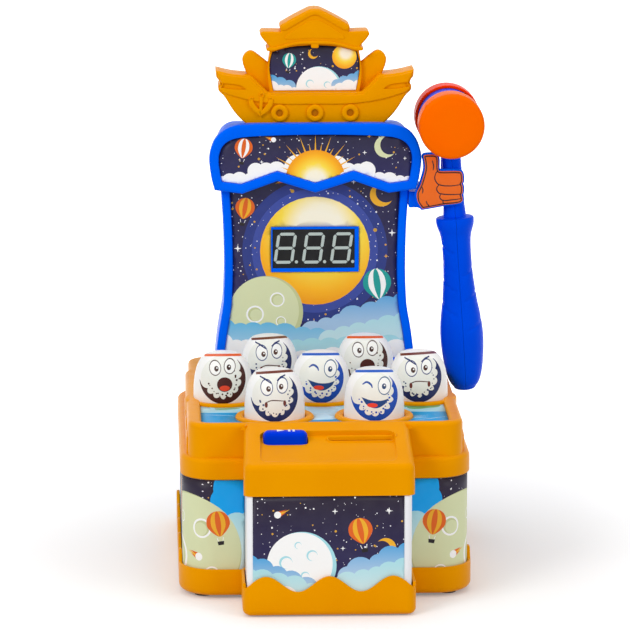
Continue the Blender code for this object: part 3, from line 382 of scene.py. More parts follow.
def addSheet(bm, layers, place, grid=()):
    # Prints layers, one over another, on a sheet: the first is the sheet, and a layer with no paint is a hole
    ink = bm.loops.layers.float_color.get("print") or bm.loops.layers.float_color.new("print")
    verts, faces = [], []
    for outline, _ in layers:
        faces.append(list(range(len(verts), len(verts) + len(outline))))
        verts += [Vector(p) for p in anticlockwise(outline)]
    verts += [Vector(p) for p in grid]
    found, _, triangles, _, _, origins = geometry.delaunay_2d_cdt(verts, [], faces, 1, 1e-5)
    corners = [bm.verts.new(place(*p)) for p in found]
    for triangle, origin in zip(triangles, origins):
        if 0 not in origin:
            continue
        paint = layers[max(origin)][1]
        if paint is None:
            continue
        try:
            face = bm.faces.new([corners[i] for i in triangle])
        except ValueError:
            continue
        for loop, i in zip(face.loops, triangle):
            loop[ink] = paint(*found[i]) if callable(paint) else paint


def gridPoints(left, right, low, high, size):
    across = round((right - left) / size)
    up = round((high - low) / size)
    return [
        (left + (right - left) * (i + 0.37) / (across + 1), low + (high - low) * (j + 0.41) / (up + 1))
        for i in range(across + 1) for j in range(up + 1)
    ]


def inkOf(hexText, sky=0.0):
    return linear(hexText)[:3] + (sky,)


def inkFaces(bm, faces, colour):
    ink = bm.loops.layers.float_color["print"]
    for face in faces:
        for loop in face.loops:
            loop[ink] = colour


def shaded(mesh, corner):
    # Smooth, with edges sharper than the corner angle left crisp
    mesh.shade_smooth()
    mesh.set_sharp_from_angle(angle=math.radians(corner))
    return mesh


def makeMesh(name, bm, corner=34, place=Matrix(), facing=True):
    weld = 0.002
    bmesh.ops.remove_doubles(bm, verts=bm.verts, dist=weld)
    bmesh.ops.dissolve_degenerate(bm, dist=weld / 4, edges=bm.edges)
    bmesh.ops.delete(bm, geom=[v for v in bm.verts if not v.link_faces], context="VERTS")
    if facing:
        bmesh.ops.recalc_face_normals(bm, faces=bm.faces)
    bm.transform(toyPlace @ place)
    mesh = bpy.data.meshes.new(name)
    bm.to_mesh(mesh)
    bm.free()
    return shaded(mesh, corner)


def newObject(name, data):
    obj = bpy.data.objects.new(name, data)
    scene.collection.objects.link(obj)
    return obj


def keptShape(obj):
    # What an object's modifiers make of it, as a plain mesh
    name = obj.name
    mesh = bpy.data.meshes.new_from_object(obj.evaluated_get(bpy.context.evaluated_depsgraph_get()))
    bpy.data.objects.remove(obj)
    mesh.name = name
    return mesh


def thickened(mesh, thickness):
    # A sheet with this thickness in millimetres, inwards from its face
    obj = newObject(mesh.name, mesh)
    solid = obj.modifiers.new("thickness", "SOLIDIFY")
    solid.thickness = thickness / 1000
    solid.offset = -1
    return keptShape(obj)


def addPiece(name, shape, finish, node=None, body="base", slot=None, corner=34, place=Matrix()):
    # The shape is a bmesh in the toy's millimetres, or a mesh that is ready
    mesh = makeMesh(name, shape, corner, place) if isinstance(shape, bmesh.types.BMesh) else shape
    obj = newObject(name, mesh)
    mesh.materials.append(finishes[finish])
    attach(obj, body)
    if node:
        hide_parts(node)
    slot or slots[finish]


def addFilm(name, bm, node, thickness=0.2):
    # A printed sheet gets the thickness of its film
    addPiece(name, thickened(makeMesh(name, bm, facing=False), thickness), "film", node)


def ringTree():
    # Rounded rings of one size, set at the points of a mesh
    tree = bpy.data.node_groups.new("roundedRings", "GeometryNodeTree")
    tree.is_modifier = True
    tree.interface.new_socket("Geometry", in_out="INPUT", socket_type="NodeSocketGeometry")
    for name, kind in (
        ("Radius", "NodeSocketFloat"), ("Width", "NodeSocketFloat"), ("Height", "NodeSocketFloat"),
        ("Rounding", "NodeSocketFloat"), ("Around", "NodeSocketInt"), ("Turn", "NodeSocketVector"),
        ("Material", "NodeSocketMaterial"),
    ):
        tree.interface.new_socket(name, in_out="INPUT", socket_type=kind)
    tree.interface.new_socket("Geometry", in_out="OUTPUT", socket_type="NodeSocketGeometry")
    given = addNode(tree, "NodeGroupInput").outputs
    circle = addNode(tree, "GeometryNodeCurvePrimitiveCircle", {
        "Resolution": given["Around"], "Radius": given["Radius"],
    })
    section = addNode(tree, "GeometryNodeCurvePrimitiveQuadrilateral", {
        "Width": given["Width"], "Height": given["Height"],
    })
    fillet = addNode(tree, "GeometryNodeFilletCurve", {
        "Curve": section.outputs[0], "Radius": given["Rounding"], "Count": 5,
    }, mode="POLY")
    ring = addNode(tree, "GeometryNodeCurveToMesh", {
        "Curve": circle.outputs[0], "Profile Curve": fillet.outputs[0],
    })
    spread = addNode(tree, "GeometryNodeInstanceOnPoints", {
        "Points": given["Geometry"], "Instance": ring.outputs[0], "Rotation": given["Turn"],
    })
    real = addNode(tree, "GeometryNodeRealizeInstances", {"Geometry": spread.outputs[0]})
    painted = addNode(tree, "GeometryNodeSetMaterial", {"Geometry": real.outputs[0], "Material": given["Material"]})
    addNode(tree, "NodeGroupOutput", {0: painted.outputs[0]})
    return tree


roundedRings = ringTree()


def grown(name, tree, places, values, corner=34):
    # Runs a tree over points and keeps what it makes as a plain mesh
    seeds = bpy.data.meshes.new(name)
    seeds.from_pydata([toyPlace @ Vector(p) for p in places], [], [])
    obj = newObject(name, seeds)
    modifier = obj.modifiers.new(name, "NODES")
    modifier.node_group = tree
    for item in tree.interface.items_tree:
        if item.in_out == "INPUT" and item.name in values:
            modifier[item.identifier] = values[item.name]
    mesh = keptShape(obj)
    bm = bmesh.new()
    bm.from_mesh(mesh)
    bmesh.ops.recalc_face_normals(bm, faces=bm.faces)
    bm.to_mesh(mesh)
    bm.free()
    mesh.materials.clear()
    return shaded(mesh, corner)


def addRoundedRings(name, places, inner, outer, height, rounding, turn=(0, 0, 0), finish="amber"):
    # places are the rings' middles; around their axis they reach from the inner to the outer radius
    values = {
        "Radius": (inner + outer) / 2000, "Width": (outer - inner) / 1000, "Height": height / 1000,
        "Rounding": rounding / 1000, "Around": 64, "Turn": turn, "Material": finishes[finish],
    }
    addPiece(name, grown(name, roundedRings, places, values), finish)


def toyBox(node):
    # The lower and upper corner of a CAD piece, in the toy's millimetres
    return [toyPlace.inverted() @ Vector(corner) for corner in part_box(node)]


# Base box

base = {
    "halfWidth": 94.2, "front": -32.8, "back": 191.95, "corner": 24.0, "trimWall": 2.2, "bottom": 2.0,
    "trimTop": 19.5, "waveLow": 16.5, "waveHigh": 26.5, "wavePitch": 40.0, "footRounding": 4.0,
    "bandLow": 78.0, "bandTop": 92.0, "bandHalfWidth": 93.0, "bandFront": -31.6, "bandBack": 190.75,
    "bandCorner": 23.5, "bandRounding": 3.5, "rim": 114.0, "blockHalfWidth": 88.0, "blockBackHalfWidth": 85.7,
    "blockFront": -28.0, "blockBack": 187.95, "blockCorner": 13.0, "stepPlace": 139.05, "stepRun": 5.0,
    "rimRounding": 3.0, "recessHalfWidth": 79.5, "recessFront": -22.5, "recessBack": 139.05, "recessCorner": 6.0,
    "plateTop": 111.4, "plateBottom": 104.7, "wall": 2.0, "cornerSteps": 12, "wrapInset": 2.5, "wrapEnd": 52.2,
    "wrapLow": 4.5, "wrapHigh": 77.7, "recessRounding": 1.4, "sideWaveFront": -15.0, "sideWaveLength": 99.0,
    "sideWaveProud": 1.0, "sideWaveFoot": 88.5, "sideWaveLow": 101.0, "sideWaveHigh": 104.5,
}


def wave(place, low, high, start=0.0, pitch=base["wavePitch"]):
    return (low + high) / 2 + (high - low) / 2 * math.cos(math.tau * (place - start) / pitch)


def baseOutline(margin=0.0):
    # The straight sides are cut into short lengths so that the wave can run along them
    b = base
    across = b["halfWidth"] - margin
    front, back, radius = b["front"] + margin, b["back"] - margin, b["corner"] - margin
    low, high = b["front"] + b["corner"], b["back"] - b["corner"]
    steps, parts = b["cornerSteps"], 60
    points = [(across, low + (high - low) * i / parts) for i in range(1, parts)]
    points += arc((across - radius, back - radius), radius, 0, 90, steps)
    points += arc((radius - across, back - radius), radius, 90, 180, steps)
    points += [(-across, high + (low - high) * i / parts) for i in range(1, parts)]
    points += arc((radius - across, front + radius), radius, 180, 270, steps)
    points += arc((across - radius, front + radius), radius, 270, 360, steps)
    return points


def trimTop(x, y):
    b = base
    low, high = b["front"] + b["corner"], b["back"] - b["corner"]
    if not low < y < high:
        return b["trimTop"]
    height = wave(y, b["waveLow"], b["waveHigh"], (low + high) / 2)
    ease = min(1.0, min(y - low, high - y) / 6)
    return b["trimTop"] + (height - b["trimTop"]) * ease


def addWavedFoot(bm, outlineAt, topAt, wall, lip, low, holes=()):
    # A tray with a rounded foot, whose rim follows a wave
    rounding, floor = base["footRounding"], low + base["wall"]
    rings = [[(x, y, floor) for x, y in outlineAt(wall)]]
    for margin, drop in ((wall, lip), (wall - lip, 0.0), (0.7, 0.0), (0.2, 0.25), (0.0, 0.9)):
        edge = zip(outlineAt(margin), outlineAt(0.0))
        rings.append([(x, y, topAt(u, v) - drop) for (x, y), (u, v) in edge])
    rings += [[(x, y, low + drop) for x, y in outlineAt(margin)] for margin, drop in edgeSteps(rounding, 5)]
    addRings(bm, rings)
    addCap(bm, [outlineAt(wall), *holes], onFloor(floor))
    addCap(bm, [outlineAt(rounding), *holes], onFloor(low))


def makeBottomTray():
    b = base
    (left, front, _), (right, back, _) = toyBox("battery_door")
    gap = 0.1
    bay = rectangle(left - gap, right + gap, front - gap, back + gap)
    bm = bmesh.new()
    addWavedFoot(bm, baseOutline, trimTop, b["trimWall"], 0.6, b["bottom"], [bay])
    addLevels(bm, [(bay, b["bottom"]), (bay, b["bottom"] + b["wall"])], onFloor)
    addPiece("bottomTray", bm, "amber", "bottom_tray")


def blockOutline(margin=0.0):
    b = base
    radius = b["blockCorner"] - margin
    front, back = b["blockFront"] + b["blockCorner"], b["blockBack"] - b["blockCorner"]
    wide, narrow = b["blockHalfWidth"], b["blockBackHalfWidth"]
    right = narrow - b["blockCorner"]
    points = arc((right, back), radius, 0, 90, 10) + arc((-right, back), radius, 90, 180, 10)
    points += [(margin - narrow, b["stepPlace"] + b["stepRun"]), (margin - wide, b["stepPlace"])]
    right = wide - b["blockCorner"]
    points += arc((-right, front), radius, 180, 270, 10) + arc((right, front), radius, 270, 360, 10)
    points += [(wide - margin, b["stepPlace"]), (narrow - margin, b["stepPlace"] + b["stepRun"])]
    return points


def recessOutline(margin=0.0):
    b = base
    across = b["recessHalfWidth"] - margin
    return roundedRectangle(
        -across, across, b["recessFront"] + margin, b["recessBack"] - margin, b["recessCorner"] - margin, 8,
    )


heads = {
    "pitch": 64.0, "rowPitch": 55.426, "radius": 19.5, "seenFrom": 11.0,
    "dome": ((0.0, 143.8), (6.0, 143.6), (9.0, 143.2), (11.0, 142.6), (12.5, 141.7), (13.8, 140.4), (15.3, 138.3),
             (17.0, 134.8), (18.0, 131.4), (18.8, 127.0), (19.3, 120.8), (19.5, 104.4)),
    "flangeTop": 104.4, "flangeRadius": 21.2, "flange": 2.0, "skin": 1.7,
    "collarRadius": 25.3, "collarTop": 113.9, "collarRounding": 1.9, "bore": 20.0,
    "stripeLow": 140.95, "stripeHigh": 142.6, "stripeReach": 12, "crossLean": 0.06, "columns": 60,
    # Radius and height of the inside, from the flange up under the crown and down the stem
    "inside": ((17.2, 124.5), (14.6, 131.5), (9.6, 138.4), (7.0, 138.4), (7.0, 104.4), (4.0, 104.4), (4.0, 87.9),
               (0.0, 87.9)),
}
headPlaces = [
    (column * heads["pitch"], row * heads["rowPitch"])
    for row, columns in enumerate(((-0.5, 0.5), (-1, 0, 1), (-0.5, 0.5))) for column in columns
]


def makeTrayHousing():
    b = base
    bm = bmesh.new()
    across, foot = b["bandHalfWidth"], 1.2
    band = roundedRectangle(-across, across, b["bandFront"], b["bandBack"], b["bandCorner"], 12)
    steps = [(foot, b["bandLow"])]
    steps += [(margin, b["bandLow"] + drop) for margin, drop in reversed(edgeSteps(foot, 3))]
    steps += [(margin, b["bandTop"] - drop) for margin, drop in edgeSteps(b["bandRounding"], 6)]
    addLoft(bm, band, steps, onFloor, [blockOutline(0.6)])
    wall, low = b["wall"] + 0.3, b["bandLow"] + 0.2
    levels = [(blockOutline(wall), b["plateBottom"]), (blockOutline(wall), low), (blockOutline(), low)]
    levels += [(blockOutline(margin), b["rim"] - drop) for margin, drop in edgeSteps(b["rimRounding"], 6)]
    addLevels(bm, levels, onFloor)
    bores = [disc(x, y, heads["bore"], 48) for x, y in headPlaces]
    addCap(bm, [blockOutline(wall), *bores], onFloor(b["plateBottom"]))
    # The recess starts with a rounded edge
    lip = b["recessRounding"]
    addCap(bm, [blockOutline(b["rimRounding"]), recessOutline(-lip)], onFloor(b["rim"]))
    levels = []
    for step in range(5):
        turn = math.pi / 2 * step / 4
        levels.append((recessOutline(-lip + lip * math.sin(turn)), b["rim"] - lip * (1 - math.cos(turn))))
    addLevels(bm, levels + [(recessOutline(), b["plateTop"])], onFloor)
    addCap(bm, [recessOutline(), *bores], onFloor(b["plateTop"]))
    for bore in bores:
        addLevels(bm, [(bore, b["plateBottom"]), (bore, b["plateTop"])], onFloor)
    addPiece("trayHousing", bm, "amber", "tray_housing")


def makeCollars():
    # One rounded ring, set round each of the seven openings by the tree
    h = heads
    height = h["collarTop"] - base["plateBottom"] - 0.5
    places = [(x, y, h["collarTop"] - height / 2) for x, y in headPlaces]
    addRoundedRings("collars", places, h["bore"], h["collarRadius"], height, h["collarRounding"])


def makeSideWaves():
    # The raised wave along each side of the tray block, with a rounded outer edge
    b = base
    bm = bmesh.new()
    front, back, edge = b["sideWaveFront"], b["sideWaveFront"] + b["sideWaveLength"], 0.8
    outline = [(front, b["sideWaveFoot"])]
    for i in range(81):
        place = front + b["sideWaveLength"] * i / 80
        outline.append((place, wave(place, b["sideWaveLow"], b["sideWaveHigh"], front + b["wavePitch"] / 4)))
    outline = (outline + [(back, b["sideWaveFoot"])])[::-1]
    face = b["blockHalfWidth"] + b["sideWaveProud"]
    for side in (-1, 1):
        steps = [(0.0, side * (b["blockHalfWidth"] - 1)), (0.0, side * (face - edge))]
        steps += [(margin, side * (face - drop)) for margin, drop in edgeSteps(edge, 3)[1:]]
        addLoft(bm, outline, steps, onSide)
    addPiece("sideWaves", bm, "amber")


makeBottomTray()
makeTrayHousing()
makeCollars()
makeSideWaves()
print("base, tray block and collars made")


# Pop-up heads

headShape = smoothed(heads["dome"], 3)
headLengths = runningLengths(headShape)


def headAt(length):
    # Radius and height at a length down the side from the crown
    i, share = partAt(headLengths, length)
    return between(headShape[i], headShape[i + 1], share)


def headFlat(x, z):
    # Where a point seen from the front lies on the unrolled side
    for i in range(len(headShape) - 1):
        (r0, z0), (r1, z1) = headShape[i], headShape[i + 1]
        if z0 >= z >= z1:
            share = (z0 - z) / max(z0 - z1, 1e-6)
            radius = r0 + (r1 - r0) * share
            length = headLengths[i] + (headLengths[i + 1] - headLengths[i]) * share
            return heads["radius"] * math.asin(max(-1.0, min(1.0, x / max(radius, 0.01)))), length
    return 0.0, 0.0


def crownFlat(x, level):
    # Where the crown meets a level seen from a little above, as a place on the unrolled side
    near, far = -13.0, 3.0
    rise = math.tan(math.radians(heads["seenFrom"]))
    for _ in range(24):
        y = (near + far) / 2
        radius = math.hypot(x, y)
        for i in range(len(headShape) - 1):
            (r0, z0), (r1, z1) = headShape[i], headShape[i + 1]
            if r0 <= radius <= r1:
                share = (radius - r0) / max(r1 - r0, 1e-6)
                break
        if z0 + (z1 - z0) * share + y * rise < level:
            near = y
        else:
            far = y
    return heads["radius"] * math.atan2(x, -y), headLengths[i] + (headLengths[i + 1] - headLengths[i]) * share


faceInks = {
    "surprised": {"line": "#E8601C", "band": "#42160F", "eye": "#5A4A48", "pupil": "#3A1E16"},
    "cross": {"line": "#70301A", "band": "#16265E", "eye": "#3A4878", "pupil": "#4A2A20"},
    "merry": {"line": "#1F62C8", "band": "#0C4AB4", "eye": "#3E6488", "pupil": "#24406A"},
}
faceOf = ("cross", "merry", "surprised", "merry", "cross", "cross", "surprised")
faceCentre = (-0.5, 128.6)
faceReach = (15.0, 15.5)


def scallops(seed):
    # The speckled band that hugs the lower edge of the face, thick below and thin at its ends
    picker = random.Random(seed)
    cx, cz = faceCentre
    wide, tall = faceReach
    outer, inner = [], []
    bumps = 9
    lifts = [picker.uniform(1.2, 3.4) for _ in range(bumps + 1)]
    for i in range(133):
        share = i / 132
        turn = math.radians(-178 + 230 * share)
        outer.append((cx + wide * math.cos(turn), cz + tall * math.sin(turn)))
        depth = 1.6 + 1.6 * math.sin(math.pi * min(max(share, 0.02), 0.98))
        depth += lifts[int(share * bumps)] * (1 - abs(math.sin(share * math.pi * bumps)) ** 0.8)
        depth *= min(1.0, share * 8, (1 - share) * 6)
        inner.append((cx + (wide - depth) * math.cos(turn), cz + (tall - depth) * math.sin(turn)))
    specks = []
    for i in range(18):
        turn = math.radians(-170 + 215 * i / 17 + picker.uniform(-5, 5))
        reach = picker.uniform(4.6, 6.6)
        place = (cx + (wide - reach) * math.cos(turn), cz + (tall - reach) * math.sin(turn))
        specks.append(disc(*place, picker.uniform(0.3, 0.7), 10))
    return outer + inner[::-1], specks


def faceLayers(kind, seed):
    inks = faceInks[kind]
    cx, cz = faceCentre
    eyeInk, pupil, band = inkOf(inks["eye"]), inkOf(inks["pupil"]), inkOf(inks["band"])
    white, glow = inkOf("#F6F6F2"), inkOf("#EDEEE6")
    layers = [(disc(cx, cz, faceReach[0] - 0.8, 40, 1.04), glow)]
    edge, specks = scallops(seed)
    layers.append((edge, band))
    layers += [(speck, band) for speck in specks]

    def ringEye(x, z, wide, tall, lookX, lookZ):
        layers.append((disc(x, z, wide + 0.2, 28, tall / wide), eyeInk))
        layers.append((disc(x, z, wide - 0.25, 28, (tall - 0.4) / (wide - 0.25)), white))
        layers.append((disc(x + lookX, z + lookZ, 1.45, 16, 1.2), pupil))
        layers.append((disc(x + lookX + 0.35, z + lookZ + 0.5, 0.5, 10), white))

    if kind == "surprised":
        ringEye(cx - 4.9, cz + 7.6, 3.7, 4.6, 0.8, -0.4)
        ringEye(cx + 4.6, cz + 8.6, 3.7, 4.6, -0.6, -0.5)
        layers.append((disc(cx + 1.2, cz - 2.8, 5.0, 28, 0.95), inkOf("#4A1A16")))
        layers.append((disc(cx + 1.2, cz - 5.2, 3.3, 24, 0.55), inkOf("#E8482A")))
    elif kind == "cross":
        ringEye(cx - 5.0, cz + 6.2, 3.8, 4.9, 1.1, -0.8)
        ringEye(cx + 5.0, cz + 7.4, 3.5, 4.7, -0.8, -0.6)
        layers.append((stroke([(cx - 9.2, cz + 12.4), (cx - 6.2, cz + 11.3), (cx - 2.0, cz + 8.8)], 1.0, 0.3), band))
        layers.append((stroke([(cx + 1.6, cz + 10.4), (cx + 4.0, cz + 12.3), (cx + 7.0, cz + 13.3)], 1.0, 0.3), band))
        mouth = smoothed([(cx - 5.4, cz - 3.2), (cx - 2.6, cz - 1.9), (cx + 1.0, cz - 1.7), (cx + 6.0, cz - 2.2)], 5)
        layers.append((stroke(mouth, 0.7, 0.2), inkOf("#5A3A34")))
        for x, z in ((cx - 5.4, cz - 4.6), (cx + 6.4, cz - 3.6)):
            layers.append((disc(x, z, 1.0, 14, 1.9), inkOf("#6A2E26")))
    else:
        cz -= 2.0
        ringEye(cx + 6.2, cz + 8.6, 4.1, 5.3, -0.2, -0.2)
        wink = smoothed([(cx - 7.8, cz + 9.4), (cx - 5.0, cz + 11.0), (cx - 2.4, cz + 9.6), (cx - 1.6, cz + 7.6)], 6)
        layers.append((stroke(wink, 1.3, 0.6), inkOf("#1F4A98")))
        smile = (-8.6, 1.6), (-4.6, -3.6), (1.0, -5.2), (6.6, -2.6), (9.0, 0.6)
        smile = smoothed([(cx + x, cz + z) for x, z in smile], 6)
        lips = smoothed([(cx + 9.0, cz + 0.6), (cx + 4.0, cz - 0.4), (cx - 2.0, cz - 0.2), (cx - 8.6, cz + 1.6)], 6)
        layers.append((smile + lips[1:-1], inkOf("#17407E")))
        layers.append((disc(cx - 1.6, cz - 3.3, 3.4, 20, 0.42), inkOf("#E8442C")))
    return layers


def makeHead(number, centre, kind):
    # A printed dome, whose sheet is unrolled from the back, and a plain inside
    h = heads
    columns, total, half = h["columns"], headLengths[-1], math.pi * h["radius"]
    across = [-half + 2 * half * i / columns for i in range(columns + 1)]
    sheet = [(u, total) for u in across] + [(half, length) for length in reversed(headLengths[:-1])]
    sheet += [(half - 2 * half * i / columns, 0.0) for i in range(1, columns + 1)]
    sheet += [(-half, length) for length in headLengths[1:-1]]
    layers = [(sheet, inkOf("#F6F6F4"))]
    layers += [([headFlat(*p) for p in outline], ink) for outline, ink in faceLayers(kind, number)]
    # The stripe runs straight across the front of the crown
    lean = h["crossLean"] if kind == "cross" else 0.0
    reach = h["stripeReach"]
    stripe = [(x, h["stripeLow"] + lean * x) for x in range(-reach, reach + 1)]
    stripe += [(x, h["stripeHigh"] + lean * x) for x in range(reach, -reach - 1, -1)]
    layers.append(([crownFlat(*p) for p in stripe], inkOf(faceInks[kind]["line"])))

    def around(radius, height, turn):
        return centre[0] + radius * math.cos(turn), centre[1] + radius * math.sin(turn), height

    def place(u, v):
        return around(*headAt(v), u / h["radius"] - math.pi / 2)

    bm = bmesh.new()
    addSheet(bm, layers, place, [(u, length) for u in across[1:-1] for length in headLengths[1:-1]])
    printed = set(bm.faces)
    inner, low = h["radius"] - h["skin"], h["flangeTop"] - h["flange"]
    profile = [(h["radius"], h["flangeTop"]), (h["flangeRadius"], h["flangeTop"]), (h["flangeRadius"], low), (inner, low)]
    turns = [-math.pi + math.tau * i / columns - math.pi / 2 for i in range(columns)]
    profile += h["inside"]
    addRings(bm, [[around(max(radius, 0.0001), height, turn) for turn in turns] for radius, height in profile])
    inkFaces(bm, [face for face in bm.faces if face not in printed], inkOf("#F4F4F1"))
    addPiece(f"head{number}", bm, "head", f"mole_{number}", f"mole_{number}")


for headNumber, (headPlace, headFace) in enumerate(zip(headPlaces, faceOf), 1):
    makeHead(headNumber, headPlace, headFace)
print("heads made")


# Printed pictures: a plain night sky, clouds, sun, moon discs and balloons

skyInks = {
    "night": "#241A2C", "nightLow": "#2C2A60", "nightEdge": "#211B1D", "halo": "#2C3A80",
    "sunRim": "#F49A14", "sunBody": "#FFB81E", "sunGlow": "#FFE14A", "sunHeart": "#FFF8E0",
    "moon": "#D9DFB2", "moonShade": "#C6CC98", "cloudDeep": "#1C9BDA", "cloudClear": "#06A4F2", "cloud": "#4FB6E2",
    "cloudPale": "#A6DEE8", "white": "#FBFBFA", "teal": "#1F9C96", "brick": "#E0641E", "gold": "#F0B02A",
}


def skyPaint(low, high, first="nightLow", second="night"):
    a, b = linear(skyInks[first])[:3], linear(skyInks[second])[:3]
    return lambda x, z: mixed(a, b, (z - low) / (high - low)) + (1.0,)


def glowPaint(x, z, radius, shades):
    # Rings of colour that melt into each other from the middle outwards
    inks = [(share, linear(skyInks[name])[:3]) for share, name in shades]

    def paint(u, v):
        reach = math.hypot(u - x, v - z) / radius
        for (a, first), (b, second) in zip(inks, inks[1:]):
            if reach <= b:
                return mixed(first, second, (reach - a) / (b - a)) + (0.0,)
        return inks[-1][1] + (0.0,)
    return paint


def glowDisc(x, z, radius, shades, heart=(0.0, 0.0)):
    # Concentric outlines give the glow enough corners to melt smoothly
    paint = glowPaint(x + heart[0] * radius, z + heart[1] * radius, radius * (1 + math.hypot(*heart)), shades)
    return [(disc(x, z, radius * share, 40), paint) for share in (1.0, 0.86, 0.72, 0.58, 0.44, 0.3, 0.16, 0.06)]


sunShades = ((0.0, "sunHeart"), (0.28, "sunHeart"), (0.5, "sunGlow"), (0.8, "sunBody"), (1.0, "sunRim"))


def bank(left, right, level, size, ink, foot, seed, rise=0.0):
    # A row of cloud lumps of mixed sizes along a level, filled down to the foot
    picker = random.Random(seed)
    first = linear(skyInks[ink])[:3]
    second = mixed(first, linear(skyInks["white"])[:3], 0.4)
    top = level + max(rise, 0.0) + size

    def colour(u, v):
        # Paler towards the foot, as airbrushed
        return mixed(first, second, (top - v) / (size * 2.6)) + (0.0,)

    layers = [([(left, foot), (right, foot), (right, level + rise), (left, level)], colour)]
    x = left
    while x < right:
        radius = size * picker.uniform(0.7, 1.15)
        height = level + rise * (x - left) / (right - left)
        layers.append((disc(x, height, radius, 22), colour))
        x += radius * 1.25
    return layers


def balloon(x, z, size, first="brick", second="gold", turn=0.0):
    # A hot-air balloon with gores, ropes and a basket
    body = []
    for i in range(33):
        a = math.pi * 1.5 + math.tau * i / 32
        u, v = math.cos(a), math.sin(a)
        squeeze = 1.0 if v > -0.2 else 1.0 - 0.45 * ((-v - 0.2) / 0.8) ** 1.4
        body.append((u * squeeze, v * (1.0 if v > 0 else 1.22)))
    layers = [(body, first), ([(u * 0.62, v) for u, v in body], second), ([(u * 0.24, v) for u, v in body], first)]
    layers.append(([(-0.3, -1.3), (-0.24, -1.3), (-0.15, -1.66), (-0.2, -1.66)], "white"))
    layers.append(([(0.24, -1.3), (0.3, -1.3), (0.2, -1.66), (0.15, -1.66)], "white"))
    layers.append(([(-0.24, -1.95), (0.24, -1.95), (0.28, -1.62), (-0.28, -1.62)], "nightEdge"))
    turned = Matrix.Rotation(math.radians(turn), 2)
    done = []
    for outline, ink in layers:
        done.append(([tuple(Vector((x, z)) + turned @ Vector(p) * size) for p in outline], inkOf(skyInks[ink])))
    return done


def sparkles(*places, ink="white"):
    # Four-pointed stars, each given by its middle and its reach
    layers = []
    for x, z, size in places:
        points = []
        for i in range(8):
            reach = size if i % 2 == 0 else size * 0.28
            points.append((x + reach * math.cos(math.tau * i / 8), z + reach * math.sin(math.tau * i / 8)))
        layers.append((points, inkOf(skyInks[ink])))
    return layers


def comet(x, z, size, turn):
    # A small round head with three tapering streaks behind it
    direction = Vector((math.cos(math.radians(turn)), math.sin(math.radians(turn))))
    side = Vector((-direction.y, direction.x))
    centre = Vector((x, z))
    layers = []
    for offset, length, tint in ((0.55, 3.0, "brick"), (-0.5, 2.6, "brick"), (0.0, 3.8, "gold")):
        low = centre + side * (offset - 0.42) * size
        high = centre + side * (offset + 0.42) * size
        tip = centre + direction * length * size + side * offset * size * 0.6
        layers.append(([tuple(low), tuple(high), tuple(tip)], inkOf(skyInks[tint])))
    return layers + [(disc(x, z, size, 20), inkOf(skyInks["white"]))]


def crescent(x, z, radius, ink="moon", turn=0.0):
    outer = arc((0, 0), radius, 60, 300, 22)
    inner = arc((radius * 0.42, 0), radius * 0.87, 286, 74, 22)
    turned = Matrix.Rotation(math.radians(turn), 2)
    return [([tuple(Vector((x, z)) + turned @ Vector(p)) for p in outer + inner[1:-1]], inkOf(skyInks[ink]))]


def moonDisc(x, z, radius, craters, ink="moon", shade="moonShade"):
    # A pale disc with a shaded edge and ringed craters
    pale, dark, white = (inkOf(skyInks[name]) for name in (ink, shade, "white"))
    layers = [(disc(x, z, radius, 48), dark), (disc(x - radius * 0.05, z + radius * 0.04, radius * 0.94, 48), pale)]
    for u, v, size in craters:
        for across, up, share, colour in ((0, 0, 1, white), (0, 0, 0.8, dark), (0.12, -0.1, 0.68, pale)):
            middle = x + (u + size * across) * radius, z + (v + size * up) * radius
            layers.append((disc(*middle, size * radius * share, 24), colour))
    return layers


# Labels on the base box

def alongWrap():
    # The wrap's path on the base box, from one side of the console round the back to the other
    outline = baseOutline(base["wrapInset"])
    split = -base["cornerSteps"] - 1
    path = outline[split:] + outline[:split]
    return [(base["wrapEnd"], path[0][1])] + path + [(-base["wrapEnd"], path[-1][1])]


def wrapLayers(length, low):
    # The same picture is mirrored on the two halves of the wrap
    half = length / 2
    art = [(disc(*place, 30), inkOf(skyInks["cloudClear"])) for place in ((2, 72, 18), (12, 64, 10), (3, 52, 16))]
    art += bank(-6, 22, low + 46, 9, "cloudPale", low - 3, 5, -8)
    art += moonDisc(40, 30, 38, ((0.34, -0.12, 0.33), (-0.32, 0.42, 0.17), (-0.5, -0.36, 0.13), (0.2, 0.55, 0.1)))
    art += balloon(17, 50, 7.6, "brick", "gold", -8)
    art += comet(30, 27, 2.6, 20)
    art += bank(62, 175, low + 10, 9, "cloudDeep", low - 3, 9, 4)
    art += bank(62, 175, low + 3, 8, "cloudPale", low - 3, 11, 3)
    art += glowDisc(112, 47, 15, sunShades)
    art += balloon(146, 48, 7.5, "teal", "white", 6)
    art += crescent(84, 56, 8, "moon", 160)
    art += sparkles((95, 40, 2.4), (132, 66, 2.0), (164, 60, 2.2), (70, 68, 1.8))
    art += bank(176, half + 2, low + 14, 10, "cloud", low - 3, 21, 6)
    art += bank(190, half + 2, low + 5, 9, "white", low - 3, 22, 2)
    art += moonDisc(218, 52, 13, ((0.3, 0.2, 0.25), (-0.35, -0.2, 0.2)), "cloudPale", "cloud")
    art += comet(192, 62, 2.0, 150)
    layers = [([(min(max(u, -1.0), half), v) for u, v in outline], ink) for outline, ink in art]
    return layers + [([(length - u, v) for u, v in outline], ink) for outline, ink in layers]


